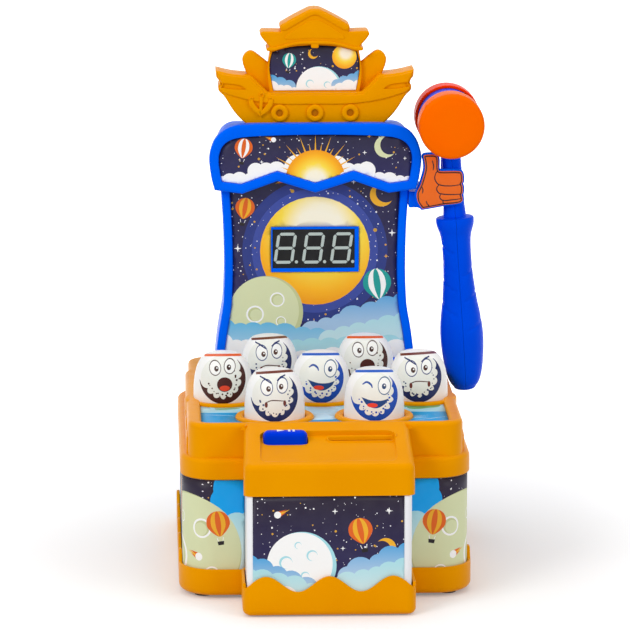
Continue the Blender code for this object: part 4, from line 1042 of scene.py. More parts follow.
def makeBodyLabel():
    path = alongWrap()
    lengths = runningLengths(path)
    low, high, rows = base["wrapLow"], base["wrapHigh"], 9

    def place(u, v):
        i, share = partAt(lengths, u)
        return between(path[i], path[i + 1], share) + (v,)

    sheet = [(u, low) for u in lengths] + [(u, high) for u in reversed(lengths)]
    grid = [(u, low + (high - low) * j / rows) for u in lengths[1:-1] for j in range(1, rows)]
    layers = [(sheet, skyPaint(low, high))] + wrapLayers(lengths[-1], low)
    # A window for the power switch in the back, which runs against X
    (left, _, under), (right, _, over) = toyBox("power_switch")
    start, first = next((u, x) for u, (x, y) in zip(lengths, path) if y > base["back"] - 3)
    side, edge = 0.5, 2
    layers.append((rectangle(start + first - right - side, start + first - left + side, under + edge, over - edge), None))
    bm = bmesh.new()
    addSheet(bm, layers, place, grid)
    addFilm("bodyWrap", bm, "body_label")


def makeTrayLabel():
    b = base
    bm = bmesh.new()
    layers = [(recessOutline(0.3), inkOf("#3FA8DC"))]
    picker = random.Random(4)
    left, right = -80, 80
    layers.append(([(left, -22), (right, -22), (right, 15), (left, 17)], inkOf("#089CDA")))
    layers.append(([(left, 15), (right, 13), (right, 44), (left, 48)], inkOf("#A9D9E6")))
    for x, y, wide, tall, ink in (
        (-62, 31, 11, 7, "#7FB08C"), (64, 30, 12, 8, "#6BB07A"), (62, 29, 8, 4.5, "#58A468"), (-60, 32, 7, 3.4, "#93BC94"),
        (2, 14, 15, 24, "#BFE0F2"), (-34, 52, 16, 7, "#8CCDE4"), (32, 34, 18, 8, "#B9E2EE"), (0, 84, 14, 9, "#7FB08C"),
        (-64, 90, 12, 9, "#8CCDE4"), (66, 96, 11, 8, "#B9E2EE"), (0, 122, 18, 7, "#BFE0F2"), (-66, 124, 10, 6, "#93BC94"),
    ):
        blob = []
        for i in range(26):
            turn = math.tau * i / 26
            reach = 1 + 0.16 * math.sin(3 * turn + x) + 0.08 * math.sin(5 * turn + y)
            blob.append((x + wide * reach * math.cos(turn), y + tall * reach * math.sin(turn)))
        layers.append((blob, inkOf(ink)))
    for i in range(46):
        x, y = picker.uniform(-76, 76), picker.uniform(-18, 134)
        reach, lean = picker.uniform(4, 12), picker.uniform(-0.5, 0.5)
        line = [(x - reach, y - lean * reach), (x, y), (x + reach, y + lean * reach * 1.2)]
        layers.append((stroke(line, 0.7, 0.8), inkOf("#E4F4F8")))
    for x, y in headPlaces:
        layers.append((disc(x, y, heads["collarRadius"] + 0.1, 64), None))
    addSheet(bm, layers, onFloor(b["plateTop"] + 0.5), ())
    addFilm("trayPicture", bm, "tray_label")


makeBodyLabel()
makeTrayLabel()
print("wrap and tray picture made")


# Console

console = {
    "front": -77.2, "halfWidth": 54.0, "backHalfWidth": 52.5, "trim": 1.9, "trimHalfWidth": 54.7, "trimCorner": 6.0,
    "clearance": 0.8, "back": -33.1, "wallHalfWidth": 52.0, "wallFront": -76.2, "wallCorner": 4.0,
    "labelHalfWidth": 47.6, "labelShift": -0.6, "labelLow": 3.1, "top": 77.7, "hoodLow": 78.0, "fold": 97.5,
    "hoodTop": 115.8, "hoodBack": -28.3, "backRounding": 3.8, "backLow": 93.0, "hoodStep": -31.9, "hoodStepHigh": 92.3,
    "foldRadius": 5.0, "endRadius": 5.2, "panelHalfWidth": 43.5, "panelFront": -74.2,
    "panelBack": -39.5, "panelDepth": 3.2, "panelEdge": 0.9, "panelCorner": 5.5, "skin": 2.0,
    "slotCentre": 21.9, "slotPlace": -45.2, "slotLength": 40.6, "slotWidth": 3.2, "lip": 2.8, "lipHeight": 0.9,
    "lipCrest": 1.3, "slotSleeve": 1.3,
    "buttonCentre": -26.8, "buttonPlace": -45.8, "buttonWidth": 28.0, "buttonDepth": 9.8, "buttonTop": 113.4,
    "buttonRounding": 3.6, "buttonCorner": 4.4, "flangeTop": 100.8, "flange": 1.4, "flangeThickness": 1.8,
}


def consoleTrim(margin):
    # The front and the sides are cut into short lengths so that the wave can run along them
    c = console
    across, front, back = c["trimHalfWidth"] - margin, margin - c["trim"] + c["front"], c["back"] - margin
    radius = c["trimCorner"] - margin
    x, near, far = across - radius, front + radius, back - radius
    points = arc((x, far), radius, 0, 90, 6) + arc((-x, far), radius, 90, 180, 6)
    points += [(-across, far + (near - far) * i / 24) for i in range(1, 24)]
    points += arc((-x, near), radius, 180, 270, 10)
    points += [(-x + 2 * x * i / 100, front) for i in range(1, 100)]
    points += arc((x, near), radius, 270, 360, 10)
    points += [(across, near + (far - near) * i / 24) for i in range(1, 24)]
    return points


def consoleTrimTop(x, y):
    # Waved along the front, level along the sides
    b = base
    height, side = wave(x, b["waveLow"], b["waveHigh"]), (b["waveLow"] + b["waveHigh"]) / 2
    return height + (side - height) * eased(y, console["front"] + 1.2, console["front"] + 3.2)


def makeConsoleBase():
    bm = bmesh.new()
    addWavedFoot(bm, consoleTrim, consoleTrimTop, console["trim"], 0.5, console["clearance"])
    addPiece("consoleBase", bm, "amber", "console_base")


def makeConsoleWall():
    c = console
    across, skin, low, high, edge = c["wallHalfWidth"], c["skin"], c["labelLow"], c["top"], 0.3
    outline = roundedRectangle(-across, across, c["wallFront"], c["back"] - 2.2, c["wallCorner"], 10)
    bm = bmesh.new()
    steps = [(skin, low), (skin, high), (edge, high), (0.0, high - edge), (0.0, low), (skin, low)]
    addLoft(bm, outline, steps, onFloor, caps=(False, False))
    addPiece("consoleWall", bm, "white", "console_wall")


def makeConsoleLabel():
    c = console
    across, low, high = c["labelHalfWidth"], c["labelLow"], c["top"]
    layers = [(rectangle(-across, across, low, high), skyPaint(low, high, "nightLow", "night"))]
    craters = (0.3, 0.3, 0.2), (-0.45, 0.1, 0.24), (0.1, -0.3, 0.16), (-0.1, 0.6, 0.13)
    layers += moonDisc(-17, 33, 22, craters, "white", "cloudPale")
    layers += balloon(20, 56, 7.6, "brick", "gold", 12)
    layers += comet(-32, 66, 2.2, 24)
    layers += crescent(36, 44, 6.5, "gold", 200)
    layers += sparkles((4, 68, 2.0), (38, 68, 2.4), (9, 44, 1.6))
    layers += bank(-50, -14, 34, 8, "cloudDeep", 0, 3, -16) + bank(12, 50, 26, 8, "cloudDeep", 0, 8, 16)
    layers += bank(-50, -8, 25, 8, "cloudPale", 0, 13, -10) + bank(4, 50, 19, 8, "cloudPale", 0, 18, 12)
    layers += bank(-50, 2, 13, 8, "white", 0, 23, -4) + bank(24, 50, 9, 7, "white", 0, 28, 4)

    def place(x, z):
        return x + c["labelShift"], c["wallFront"] - 0.4, z

    bm = bmesh.new()
    addSheet(bm, layers, place, gridPoints(-across, across, low, high, 9))
    addFilm("consolePicture", bm, "console_label")


def hoodProfile():
    # Side view of the lid from its front lower edge over the rounded fold to the back
    c = console
    slope = math.atan2(c["hoodTop"] - c["fold"], c["hoodBack"] - c["front"])
    radius, back = c["foldRadius"], c["backRounding"]
    centre = (c["front"] + radius, c["fold"] - radius * math.tan((math.pi / 2 - slope) / 2))
    points = [(c["front"], c["hoodLow"] + (centre[1] - c["hoodLow"]) * i / 4) for i in range(4)]
    points += arc(centre, radius, 180, 90 + math.degrees(slope), 8)
    run = back + 0.1
    fold, end = points[-1], (c["hoodBack"] - run, c["hoodTop"] - run * math.tan(slope))
    points += [between(fold, end, i / 26) for i in range(1, 27)]
    points += arc((c["hoodBack"] - back, end[1] - back * math.cos(slope) + 0.6), back, 66, 0, 6)
    return points + [(c["hoodBack"], c["backLow"])]


def roundedBoxReach(x, y, halfX, halfY, radius):
    # Distance from the edge of a rounded rectangle, negative inside it
    u, v = abs(x) - halfX + radius, abs(y) - halfY + radius
    return math.hypot(max(u, 0), max(v, 0)) + min(max(u, v), 0.0) - radius


def eased(value, low, high):
    share = min(max((value - low) / (high - low), 0.0), 1.0)
    return share * share * (3 - 2 * share)


def makeHood():
    c = console
    profile = hoodProfile()
    lengths = runningLengths(profile)
    total, radius = lengths[-1], c["endRadius"]
    flat = c["halfWidth"] - radius

    def narrowed(x, y):
        # The lid is a little narrower at its back
        share = (y - c["front"]) / (c["hoodBack"] - c["front"])
        return x * (1 - share * (1 - c["backHalfWidth"] / c["halfWidth"]))

    def spot(s):
        # Place and outward direction at a length along the profile
        i, share = partAt(lengths, s)
        a, b = Vector(profile[i]), Vector(profile[i + 1])
        before, after = Vector(profile[max(i - 1, 0)]), Vector(profile[min(i + 2, len(profile) - 1)])
        along = (b - before).normalized().lerp((after - a).normalized(), share).normalized()
        return a.lerp(b, share), Vector((-along.y, along.x))

    def lengthAt(y):
        # Where the sloping top crosses a place along Y
        for i in range(8, len(profile) - 6):
            if profile[i][0] <= y <= profile[i + 1][0]:
                share = (y - profile[i][0]) / (profile[i + 1][0] - profile[i][0])
                return lengths[i] + (lengths[i + 1] - lengths[i]) * share
        return total

    panelFront, panelBack = lengthAt(c["panelFront"] + 1.5), lengthAt(c["panelBack"])
    slotAt, buttonAt = lengthAt(c["slotPlace"]), lengthAt(c["buttonPlace"])
    middle, half = (panelFront + panelBack) / 2, (panelBack - panelFront) / 2

    def relief(u, s):
        away = roundedBoxReach(u, s - middle, c["panelHalfWidth"], half, c["panelCorner"])
        depth = c["panelDepth"] * min(max((s - panelFront) / (panelBack - panelFront), 0.0), 1.0) ** 0.8
        height = -depth * eased(-away, 0.0, c["panelEdge"])
        halfX, halfY = c["slotLength"] / 2 + c["lip"], c["slotWidth"] / 2 + c["lip"]
        rim = roundedBoxReach(u - c["slotCentre"], s - slotAt, halfX, halfY, halfY - 0.05)
        height += c["lipHeight"] * eased(-rim, 0.0, 0.7)
        return height - (c["lipHeight"] + c["slotSleeve"]) * eased(-rim, c["lipCrest"], c["lip"])

    def place(u, s):
        at, out = spot(s)
        turn = max(abs(u) - flat, 0.0) / radius
        sink = radius * (1 - math.cos(turn))
        x = math.copysign(min(abs(u), flat) + radius * math.sin(turn), u)
        at = at + out * (relief(u, s) - sink)
        return narrowed(x, at.x), at.x, at.y

    def around(x, s, halfX, halfY, corner):
        # A rounded rectangle in the sheet
        return roundedRectangle(x - halfX, x + halfX, s - halfY, s + halfY, corner, 8)

    columns = [-flat + 2 * flat * i / 40 for i in range(41)]
    ends = [flat + radius * math.pi / 2 * i / 6 for i in range(1, 7)]
    columns = [-e for e in reversed(ends)] + columns + ends
    sheet = [(u, 0.0) for u in columns] + [(columns[-1], s) for s in lengths[1:]]
    sheet += [(u, total) for u in reversed(columns[:-1])] + [(columns[0], s) for s in reversed(lengths[1:-1])]
    # Outlines along each slope of the relief give it points to bend at
    outlines = [sheet]
    for margin in (0.0, 0.22, 0.45, 0.68, 0.9):
        outlines.append(around(0, middle, c["panelHalfWidth"] - margin, half - margin, c["panelCorner"] - margin))
    for margin in (0.0, 0.35, 0.7, 1.2, 1.7, 2.2, 2.6):
        x, y = c["slotLength"] / 2 + c["lip"] - margin, c["slotWidth"] / 2 + c["lip"] - margin
        outlines.append(around(c["slotCentre"], slotAt, x, y, y - 0.05))
    layers = [(outline, (0.0, 0.0, 0.0, 0.0)) for outline in outlines]
    x, y = c["slotLength"] / 2, c["slotWidth"] / 2
    layers.append((around(c["slotCentre"], slotAt, x, y, y - 0.05), None))
    x, y = c["buttonWidth"] / 2 + 0.5, c["buttonDepth"] / 2 + 0.7
    button = roundedRectangle(c["buttonCentre"] - x, c["buttonCentre"] + x, buttonAt - y, buttonAt + y, 3.0, 6)
    layers.append((button, None))
    bm = bmesh.new()
    addSheet(bm, layers, place, [(u, s) for u in columns[1:-1] for s in lengths[1:-1]])
    for side in (-1, 1):
        cap = [place(side * columns[-1], s)[1:] for s in lengths]
        cap += [(cap[-1][0], c["hoodStepHigh"]), (c["hoodStep"], c["hoodStepHigh"]), (c["hoodStep"], c["hoodLow"])]
        addCap(bm, [cap], lambda y, z: (narrowed(side * c["halfWidth"], y), y, z))
    bm.loops.layers.float_color.remove(bm.loops.layers.float_color["print"])
    mesh = thickened(makeMesh("consoleHood", bm, 40), c["skin"])
    mesh.set_sharp_from_angle(angle=math.radians(40))
    addPiece("consoleHood", mesh, "amber", "console_hood")


def makeStartButton():
    c = console
    x, y = c["buttonWidth"] / 2, c["buttonDepth"] / 2
    centre, middle = c["buttonCentre"], c["buttonPlace"]
    bm = bmesh.new()
    outline = roundedRectangle(centre - x, centre + x, middle - y, middle + y, c["buttonCorner"], 12)
    low = c["flangeTop"] - c["flangeThickness"]
    steps = [(-c["flange"], low), (-c["flange"], c["flangeTop"]), (0.0, c["flangeTop"])]
    steps += [(margin, c["buttonTop"] - drop) for margin, drop in edgeSteps(c["buttonRounding"], 8)]
    addLoft(bm, outline, steps, onFloor)
    addPiece("startButton", bm, "buttonBlue", "start_button", "start_button", corner=60)
    # Generic play and pause marks, moulded in white on the top
    marks = [[(-5.2, -2.4), (-0.6, 0.0), (-5.2, 2.4)]] + [rectangle(left, left + 1.5, -2.3, 2.3) for left in (1.8, 4.6)]
    top = c["buttonTop"]
    bm = bmesh.new()
    for mark in marks:
        outline = [(centre + u, middle + v) for u, v in mark]
        addLoft(bm, outline, [(0.0, top - 0.2), (0.0, top + 0.08), (0.1, top + 0.15)], onFloor)
    addPiece("startMarks", bm, "white", body="start_button")


makeConsoleBase()
makeConsoleWall()
makeConsoleLabel()
makeHood()
makeStartButton()
print("console made")


# Tower

tower = {
    "low": 114.3, "top": 277.7, "front": 145.45, "split": 165.95, "back": 183.95, "footHalfWidth": 67.5,
    "bead": 5.6, "beadHeight": 2.5, "rounding": 2.0, "wall": 2.0, "topRadius": 12.0,
    "sides": ((0, 1), (0.065, 0.99), (0.157, 0.962), (0.255, 0.922), (0.34, 0.909), (0.427, 0.904), (0.585, 0.912),
              (0.727, 0.933), (0.86, 0.952), (1, 0.963)),
    "grille": 152.0, "grillePitch": 6.0, "grilleHole": 1.3,
    "displayHalfWidth": 28.3, "displayLow": 181.0, "displayHigh": 209.3, "bezel": 1.2, "displayFront": 146.75,
    "displayDepth": 9.0, "digitWidth": 11.2, "digitHeight": 19.2, "digitPitch": 19.0, "barWidth": 2.0, "digitLean": 8,
}


def towerOutline():
    # Waisted sides that end in rounded top corners
    t = tower
    side = [(t["footHalfWidth"] * across, t["low"] + (t["top"] - t["low"]) * up) for up, across in t["sides"]]
    side = smoothed(side, 5)
    top, radius = side[-1], t["topRadius"]
    side = [p for p in side if p[1] < top[1] - radius - 0.5]
    side += arc((top[0] - radius, top[1] - radius), radius, 0, 90, 10)
    return bothSides(side)


def makeTowerHalf(name, node, front):
    t = tower
    side = 1 if front else -1
    skin, seam = (t["front"] if front else t["back"]), t["split"] - side * 0.15
    inside = skin + t["beadHeight"] if front else skin
    wall = t["wall"]
    steps = [(wall, inside + side * wall), (wall, seam), (0.4, seam), (0.0, seam - side * 0.4)]
    steps += [(margin, skin + side * drop) for margin, drop in edgeSteps(t["rounding"], 6)]
    if front:
        bead = t["bead"]
        steps += [(bead - 1.2, skin), (bead - 0.35, skin + 0.35), (bead, skin + 1.2), (bead, inside)]
        x, gap = t["displayHalfWidth"] + 0.3, 0.3
        holes = [rectangle(-x, x, t["displayLow"] - gap, t["displayHigh"] + gap)]
    else:
        grid = [(row, column) for row in range(-2, 3) for column in range(-2, 3) if abs(row) + abs(column) <= 2]
        pitch = t["grillePitch"]
        holes = [disc(column * pitch, t["grille"] + row * pitch, t["grilleHole"], 16) for row, column in grid]
    bm = bmesh.new()
    addLoft(bm, towerOutline(), steps, onFront, holes)
    addPiece(name, bm, "frameBlue", node)


def makeTowerLabel():
    t = tower
    layers = [(inset(towerOutline(), t["bead"] + 0.3), skyPaint(150, 285, "nightLow", "nightEdge"))]
    centre = (0.0, 194.0)
    layers.append((disc(*centre, 49, 56), inkOf(skyInks["halo"], 1.0)))
    layers.append((disc(*centre, 42.5, 56), inkOf("#3C4C9C", 1.0)))
    layers += glowDisc(*centre, 37.0, sunShades, (0.1, 0.42))
    layers += bank(-70, -22, 162, 10, "cloudDeep", 110, 31, -24)
    layers += moonDisc(-33, 152, 25, ((0.3, 0.35, 0.2), (-0.3, -0.05, 0.24), (0.4, -0.25, 0.14)))
    layers += balloon(42, 172, 9.5, "teal", "white", 8) + balloon(-47, 224, 6.5, "brick", "gold", -10)
    layers += crescent(45, 232, 8, "gold", 30) + comet(-20, 243, 2.0, 205)
    layers += sparkles((-52, 196, 2.6), (52, 206, 2.6), (26, 241, 1.8), (-38, 243, 1.5))
    layers += sparkles((48, 190, 1.6), ink="gold")
    for left, right, level, size, ink, foot, seed, rise in (
        (-2, 70, 138, 9, "cloudDeep", 110, 41, 22), (-70, 10, 140, 9, "cloud", 110, 43, -8),
        (10, 70, 132, 9, "cloudPale", 110, 47, 14), (-70, 70, 124, 9, "cloudPale", 110, 53, 2),
        (-70, -30, 132, 8, "white", 110, 57, -10), (-30, 70, 113, 9, "white", 105, 59, 12),
    ):
        layers += bank(left, right, level, size, ink, foot, seed, rise)
    x, gap = t["displayHalfWidth"] + t["bezel"] + 0.1, 1.3
    layers.append((rectangle(-x, x, t["displayLow"] - gap, t["displayHigh"] + gap), None))
    bm = bmesh.new()
    addSheet(bm, layers, onFront(t["front"] + t["beadHeight"] - 0.5), gridPoints(-64, 64, 118, 274, 9))
    addFilm("towerPicture", bm, "tower_label")


def makeBezel():
    # Broad below and on the right
    t = tower
    x, low, high = t["displayHalfWidth"], t["displayLow"], t["displayHigh"]
    outer = inset(rectangle(-x, x, low, high), -t["bezel"])
    inner = rectangle(-x - 0.3, x - 1.5, low + 1.4, high - 0.3)
    face = t["front"] + 0.6
    levels = [(outer, face + 1.5), (outer, face + 0.3), (inset(outer, 0.3), face), (inset(inner, -0.2), face)]
    levels += [(inner, face + 0.2), (inner, face + 0.6)]
    levels += [(inset(outer, 0.9), face + 0.6), (inset(outer, 0.9), face + 1.5)]
    bm = bmesh.new()
    addLevels(bm, levels + levels[:1], onFront)
    addPiece("displayBezel", bm, "frameBlue", "display_bezel")


def segment(x0, z0, x1, z1):
    # A bar of a digit, with pointed ends
    along = Vector((x1 - x0, z1 - z0)).normalized()
    side = Vector((-along.y, along.x)) * tower["barWidth"] / 2
    a, b = Vector((x0, z0)) + along * 0.35, Vector((x1, z1)) - along * 0.35
    tip = along * tower["barWidth"] / 2
    return [a, a + tip - side, b - tip - side, b, b - tip + side, a + tip + side]


def makeDisplay():
    t = tower
    x, low, high = t["displayHalfWidth"], t["displayLow"], t["displayHigh"]
    front, back = t["displayFront"], t["displayFront"] + t["displayDepth"]
    panel = inset(rectangle(-x, x, low, high), 0.05)
    bm = bmesh.new()
    addLevels(bm, [(panel, front), (panel, back)], onFront)
    addCap(bm, [panel], onFront(back))
    black, grey = inkOf("#07080A"), inkOf("#B9C6C1")
    layers = [(panel, black)]
    wide, tall = t["digitWidth"], t["digitHeight"]
    lean = math.tan(math.radians(t["digitLean"]))
    for column in (-1, 0, 1):
        left = column * t["digitPitch"] - wide / 2 - 1.0
        bottom = (low + high) / 2 - tall / 2 + 0.9
        middle, topEdge, right = bottom + tall / 2, bottom + tall, left + wide
        bars = [segment(left, z, right, z) for z in (bottom, middle, topEdge)]
        for edge in (left, right):
            bars += [segment(edge, bottom, edge, middle), segment(edge, middle, edge, topEdge)]
        layers += [([(p.x + (p.y - middle) * lean, p.y) for p in bar], grey) for bar in bars]
        layers.append((disc(right + 1.9, bottom + 0.2, 1.1, 16), grey))
    addSheet(bm, layers, onFront(front))
    # The faces that the print leaves out have the ink's default of white
    ink = bm.loops.layers.float_color["print"]
    inkFaces(bm, [face for face in bm.faces if face.loops[0][ink][3] == 1.0], black)
    addPiece("displayModule", bm, "film", "display_module", slot="black_abs")


marquee = {
    "front": 137.45, "back": 145.15, "halfWidth": 71.0, "low": 234.6, "height": 47.3, "bead": 6.3, "recess": 2.5,
    "rounding": 1.8, "arch": 1.2, "archEnds": 2.6,
    "outline": ((0.0, 0.01, 1), (0.359, 0.18, 1), (0.69, 0.0, 1), (0.952, 0.055, 1), (0.98, 0.21, 1),
                (1.0, 0.42, 0), (1.0, 0.54, 0), (0.985, 0.65, 0), (0.954, 0.765, 0), (0.892, 0.88, 0),
                (0.8, 0.96, 0), (0.69, 0.992, 0), (0.4, 1.0, 0), (0.0, 1.0, 1)),
}


def marqueeOutline():
    # No point lies so near the lower corner that an inset would fold there
    m = marquee
    half = smoothed(scaled(m["outline"], m["halfWidth"], m["height"], 0, m["low"]), 4)[:-1]
    corner, clear = scaled(m["outline"], m["halfWidth"], m["height"], 0, m["low"])[3][:2], m["bead"] + 0.9
    half = [p for p in half if math.dist(p, corner) < 0.01 or math.dist(p, corner) > clear]
    return bothSides(half + [(0.0, m["low"] + m["height"])])


def marqueeOpening(margin):
    # The opening is arched more than the frame round it
    m = marquee
    middle, top = m["low"] + m["height"] / 2, m["low"] + m["height"] - m["bead"]
    points = []
    for x, z in inset(marqueeOutline(), margin):
        share = max((z - middle) / (top - middle), 0.0)
        points.append((x, z - share ** 2 * (m["arch"] + m["archEnds"] * (x / m["halfWidth"]) ** 2)))
    return points


def sunRays(x, z, count, root, reaches, spread=2.6):
    # Pointed rays over the upper half, with their two lengths in turn
    layers = []
    for i in range(count):
        turn, half = math.radians(10 + 160 * i / (count - 1)), math.radians(spread)
        points = [(root, turn - half), (reaches[i % 2], turn), (root, turn + half)]
        layers.append(([(x + r * math.cos(a), z + r * math.sin(a)) for r, a in points], inkOf(skyInks["gold"])))
    return layers


def makeMarquee():
    m = marquee
    outline = marqueeOutline()
    face = m["front"] + m["recess"]
    levels = [(outline, m["back"])]
    levels += [(inset(outline, margin), m["front"] + drop) for margin, drop in edgeSteps(m["rounding"], 6)]
    for margin, drop in ((1.1, 0.0), (0.3, 0.3), (0.0, 1.1), (0.0, m["recess"])):
        levels.append((marqueeOpening(m["bead"] - margin), m["front"] + drop))
    bm = bmesh.new()
    addLevels(bm, levels, onFront)
    addCap(bm, [outline], onFront(m["back"]))
    addCap(bm, [levels[-1][0]], onFront(face))
    addPiece("marqueeFrame", bm, "frameBlue", "marquee_frame")
    white = inkOf(skyInks["white"])
    layers = [(marqueeOpening(m["bead"] + 0.3), skyPaint(232, 290, "nightLow", "nightEdge"))]
    layers += bank(-40, 40, 250, 6, "white", 230, 61, 0)
    layers += [(disc(-12, 252, 9, 24), white), (disc(14, 252, 8, 24), white)]
    layers += sunRays(0, 244, 17, 16, (31, 25)) + glowDisc(0, 244, 20, sunShades)
    layers += bank(-62, -20, 243, 5, "white", 230, 67, 3) + bank(20, 62, 245, 5, "white", 230, 71, -3)
    layers += balloon(-48, 266, 6.0, "brick", "white", -8) + crescent(47, 266, 7.5, "moon", 20)
    layers += comet(-28, 271, 1.7, 160) + sparkles((33, 262, 1.6), (-36, 256, 1.5), (60, 258, 1.4))
    layers += sparkles((36, 273, 1.3), ink="gold")
    bm = bmesh.new()
    addSheet(bm, layers, onFront(face - 0.5), gridPoints(-66, 66, 238, 280, 7))
    addFilm("marqueePicture", bm, "marquee_label")


makeTowerHalf("towerFront", "tower_front", True)
makeTowerHalf("towerRear", "tower_rear", False)
makeTowerLabel()
makeBezel()
makeDisplay()
makeMarquee()
print("tower made")


# Boat

boat = {
    "front": 147.15, "split": 159.15, "back": 171.15, "low": 278.0, "halfWidth": 66.4, "height": 79.7,
    "hullRounding": 1.3, "gunwale": 1.5, "cabinSetback": 5.0, "roofSetback": 1.0, "paddleSetback": 8.5,
    "windowRecess": 1.2, "porthole": 5.9, "portholeBore": 2.3, "portholeProud": 2.0, "portholeRounding": 1.3,
    "portholePitch": 23.7, "portholeLevel": 0.122, "anchor": (-36.2, 294.0), "anchorProud": 2.4,
    "hull": ((0.62, 0.0, 1), (0.69, 0.032, 0), (0.755, 0.08, 0), (0.81, 0.132, 0), (0.854, 0.185, 0), (0.89, 0.236, 0),
             (0.925, 0.277, 0), (0.958, 0.302, 1), (0.973, 0.322, 0), (0.973, 0.353, 0), (0.96, 0.373, 0),
             (0.973, 0.408, 0), (0.993, 0.43, 0), (1.0, 0.488, 1), (0.846, 0.458, 0), (0.645, 0.44, 1),
             (0.478, 0.3, 1), (0.4, 0.293, 1)),
    "band": ((0.0, 0.199, 0), (0.35, 0.201, 0), (0.645, 0.233, 0), (0.91, 0.296, 0), (0.955, 0.322, 1), (0.955, 0.353, 0),
             (0.943, 0.373, 0), (0.955, 0.408, 0), (0.975, 0.43, 0), (0.98, 0.47, 1), (0.846, 0.445, 0), (0.655, 0.427, 1),
             (0.486, 0.286, 1), (0.4, 0.279, 1)),
    "notch": ((0.95, 0.385, 0), (0.82, 0.374, 0), (0.74, 0.36, 0), (0.69, 0.328, 1), (0.82, 0.33, 0), (0.945, 0.345, 0)),
    "cabin": ((0.44, 0.2, 1), (0.455, 0.3, 0), (0.474, 0.4, 0), (0.474, 0.5, 0), (0.458, 0.6, 0), (0.436, 0.7, 1),
              (0.0, 0.73, 1)),
    "window": ((0.42, 0.302, 1), (0.44, 0.39, 0), (0.457, 0.48, 0), (0.453, 0.56, 0), (0.43, 0.635, 1), (0.25, 0.675, 0),
               (0.0, 0.692, 0)),
    "roof": ((0.0, 0.705, 0), (0.2, 0.697, 0), (0.4, 0.652, 0), (0.48, 0.646, 0), (0.49, 0.667, 1), (0.458, 0.685, 1),
             (0.55, 0.78, 0), (0.537, 0.808, 0), (0.497, 0.812, 0), (0.343, 0.808, 1), (0.353, 0.847, 0), (0.335, 0.87, 0),
             (0.067, 0.99, 0), (0.0, 1.0, 0)),
    "gable": ((0.0, 0.95, 0), (0.05, 0.938, 0), (0.295, 0.82, 1), (0.332, 0.822, 0), (0.341, 0.845, 0), (0.326, 0.863, 0),
              (0.062, 0.98, 0), (0.0, 0.99, 0)),
    "facet": ((0.0, 0.755, 1), (0.25, 0.745, 0), (0.3, 0.752, 0), (0.28, 0.785, 0), (0.07, 0.898, 0), (0.0, 0.915, 0)),
    "eave": ((0.0, 0.706, 0), (0.2, 0.698, 0), (0.4, 0.654, 0), (0.475, 0.648, 0), (0.487, 0.665, 0), (0.46, 0.681, 0),
             (0.4, 0.681, 0), (0.2, 0.724, 0), (0.0, 0.735, 0)),
    "paddle": ((0.43, 0.27, 1), (0.52, 0.28, 0), (0.66, 0.41, 0), (0.703, 0.48, 0), (0.723, 0.53, 0), (0.727, 0.573, 0),
               (0.697, 0.617, 0), (0.643, 0.638, 0), (0.588, 0.617, 0), (0.43, 0.51, 1)),
}


def boatHalfShape(name):
    b = boat
    return smoothed(scaled(b[name], b["halfWidth"], b["height"], 0.0, b["low"]), 4)


def boatShape(name):
    return anticlockwise(bothSides(boatHalfShape(name)))


def addRaised(bm, outline, back, front, rounding, steps=4, holes=()):
    # A plate whose front edge is rounded; front may lie on either side of its back
    side = 1 if front < back else -1
    levels = [(0.0, back)] + [(margin, front + side * drop) for margin, drop in edgeSteps(rounding, steps)]
    addLoft(bm, anticlockwise(outline), levels, onFront, holes)


def addAnchor(bm, face):
    b = boat
    x, z = b["anchor"]
    parts = [([(-0.4, -6.4), (0, 0), (0.4, 5.0)], 2.3, 0.0)]
    for end in (-1, 1):
        parts.append(([(end * 6.9, 3.6), (end * 6.2, 0.2), (end * 3.9, -3.0), (end * 0.4, -6.0)], 3.6, 0.2))
        parts.append(([(end * 8.3, 3.0), (end * 6.6, 4.3), (end * 4.9, 4.2)], 1.6, 0.5))
    parts += [([(-2.4, -5.6), (-0.4, -7.6), (1.6, -5.6)], 1.9, 0.4), (arc((0.7, 6.3), 1.4, -90, 265, 16), 1.1, 0.0)]
    for points, width, taper in parts:
        line = [(x + u, z + v) for u, v in points]
        addRaised(bm, stroke(line, width, taper), face + 1, face - b["anchorProud"], 0.6, 3)


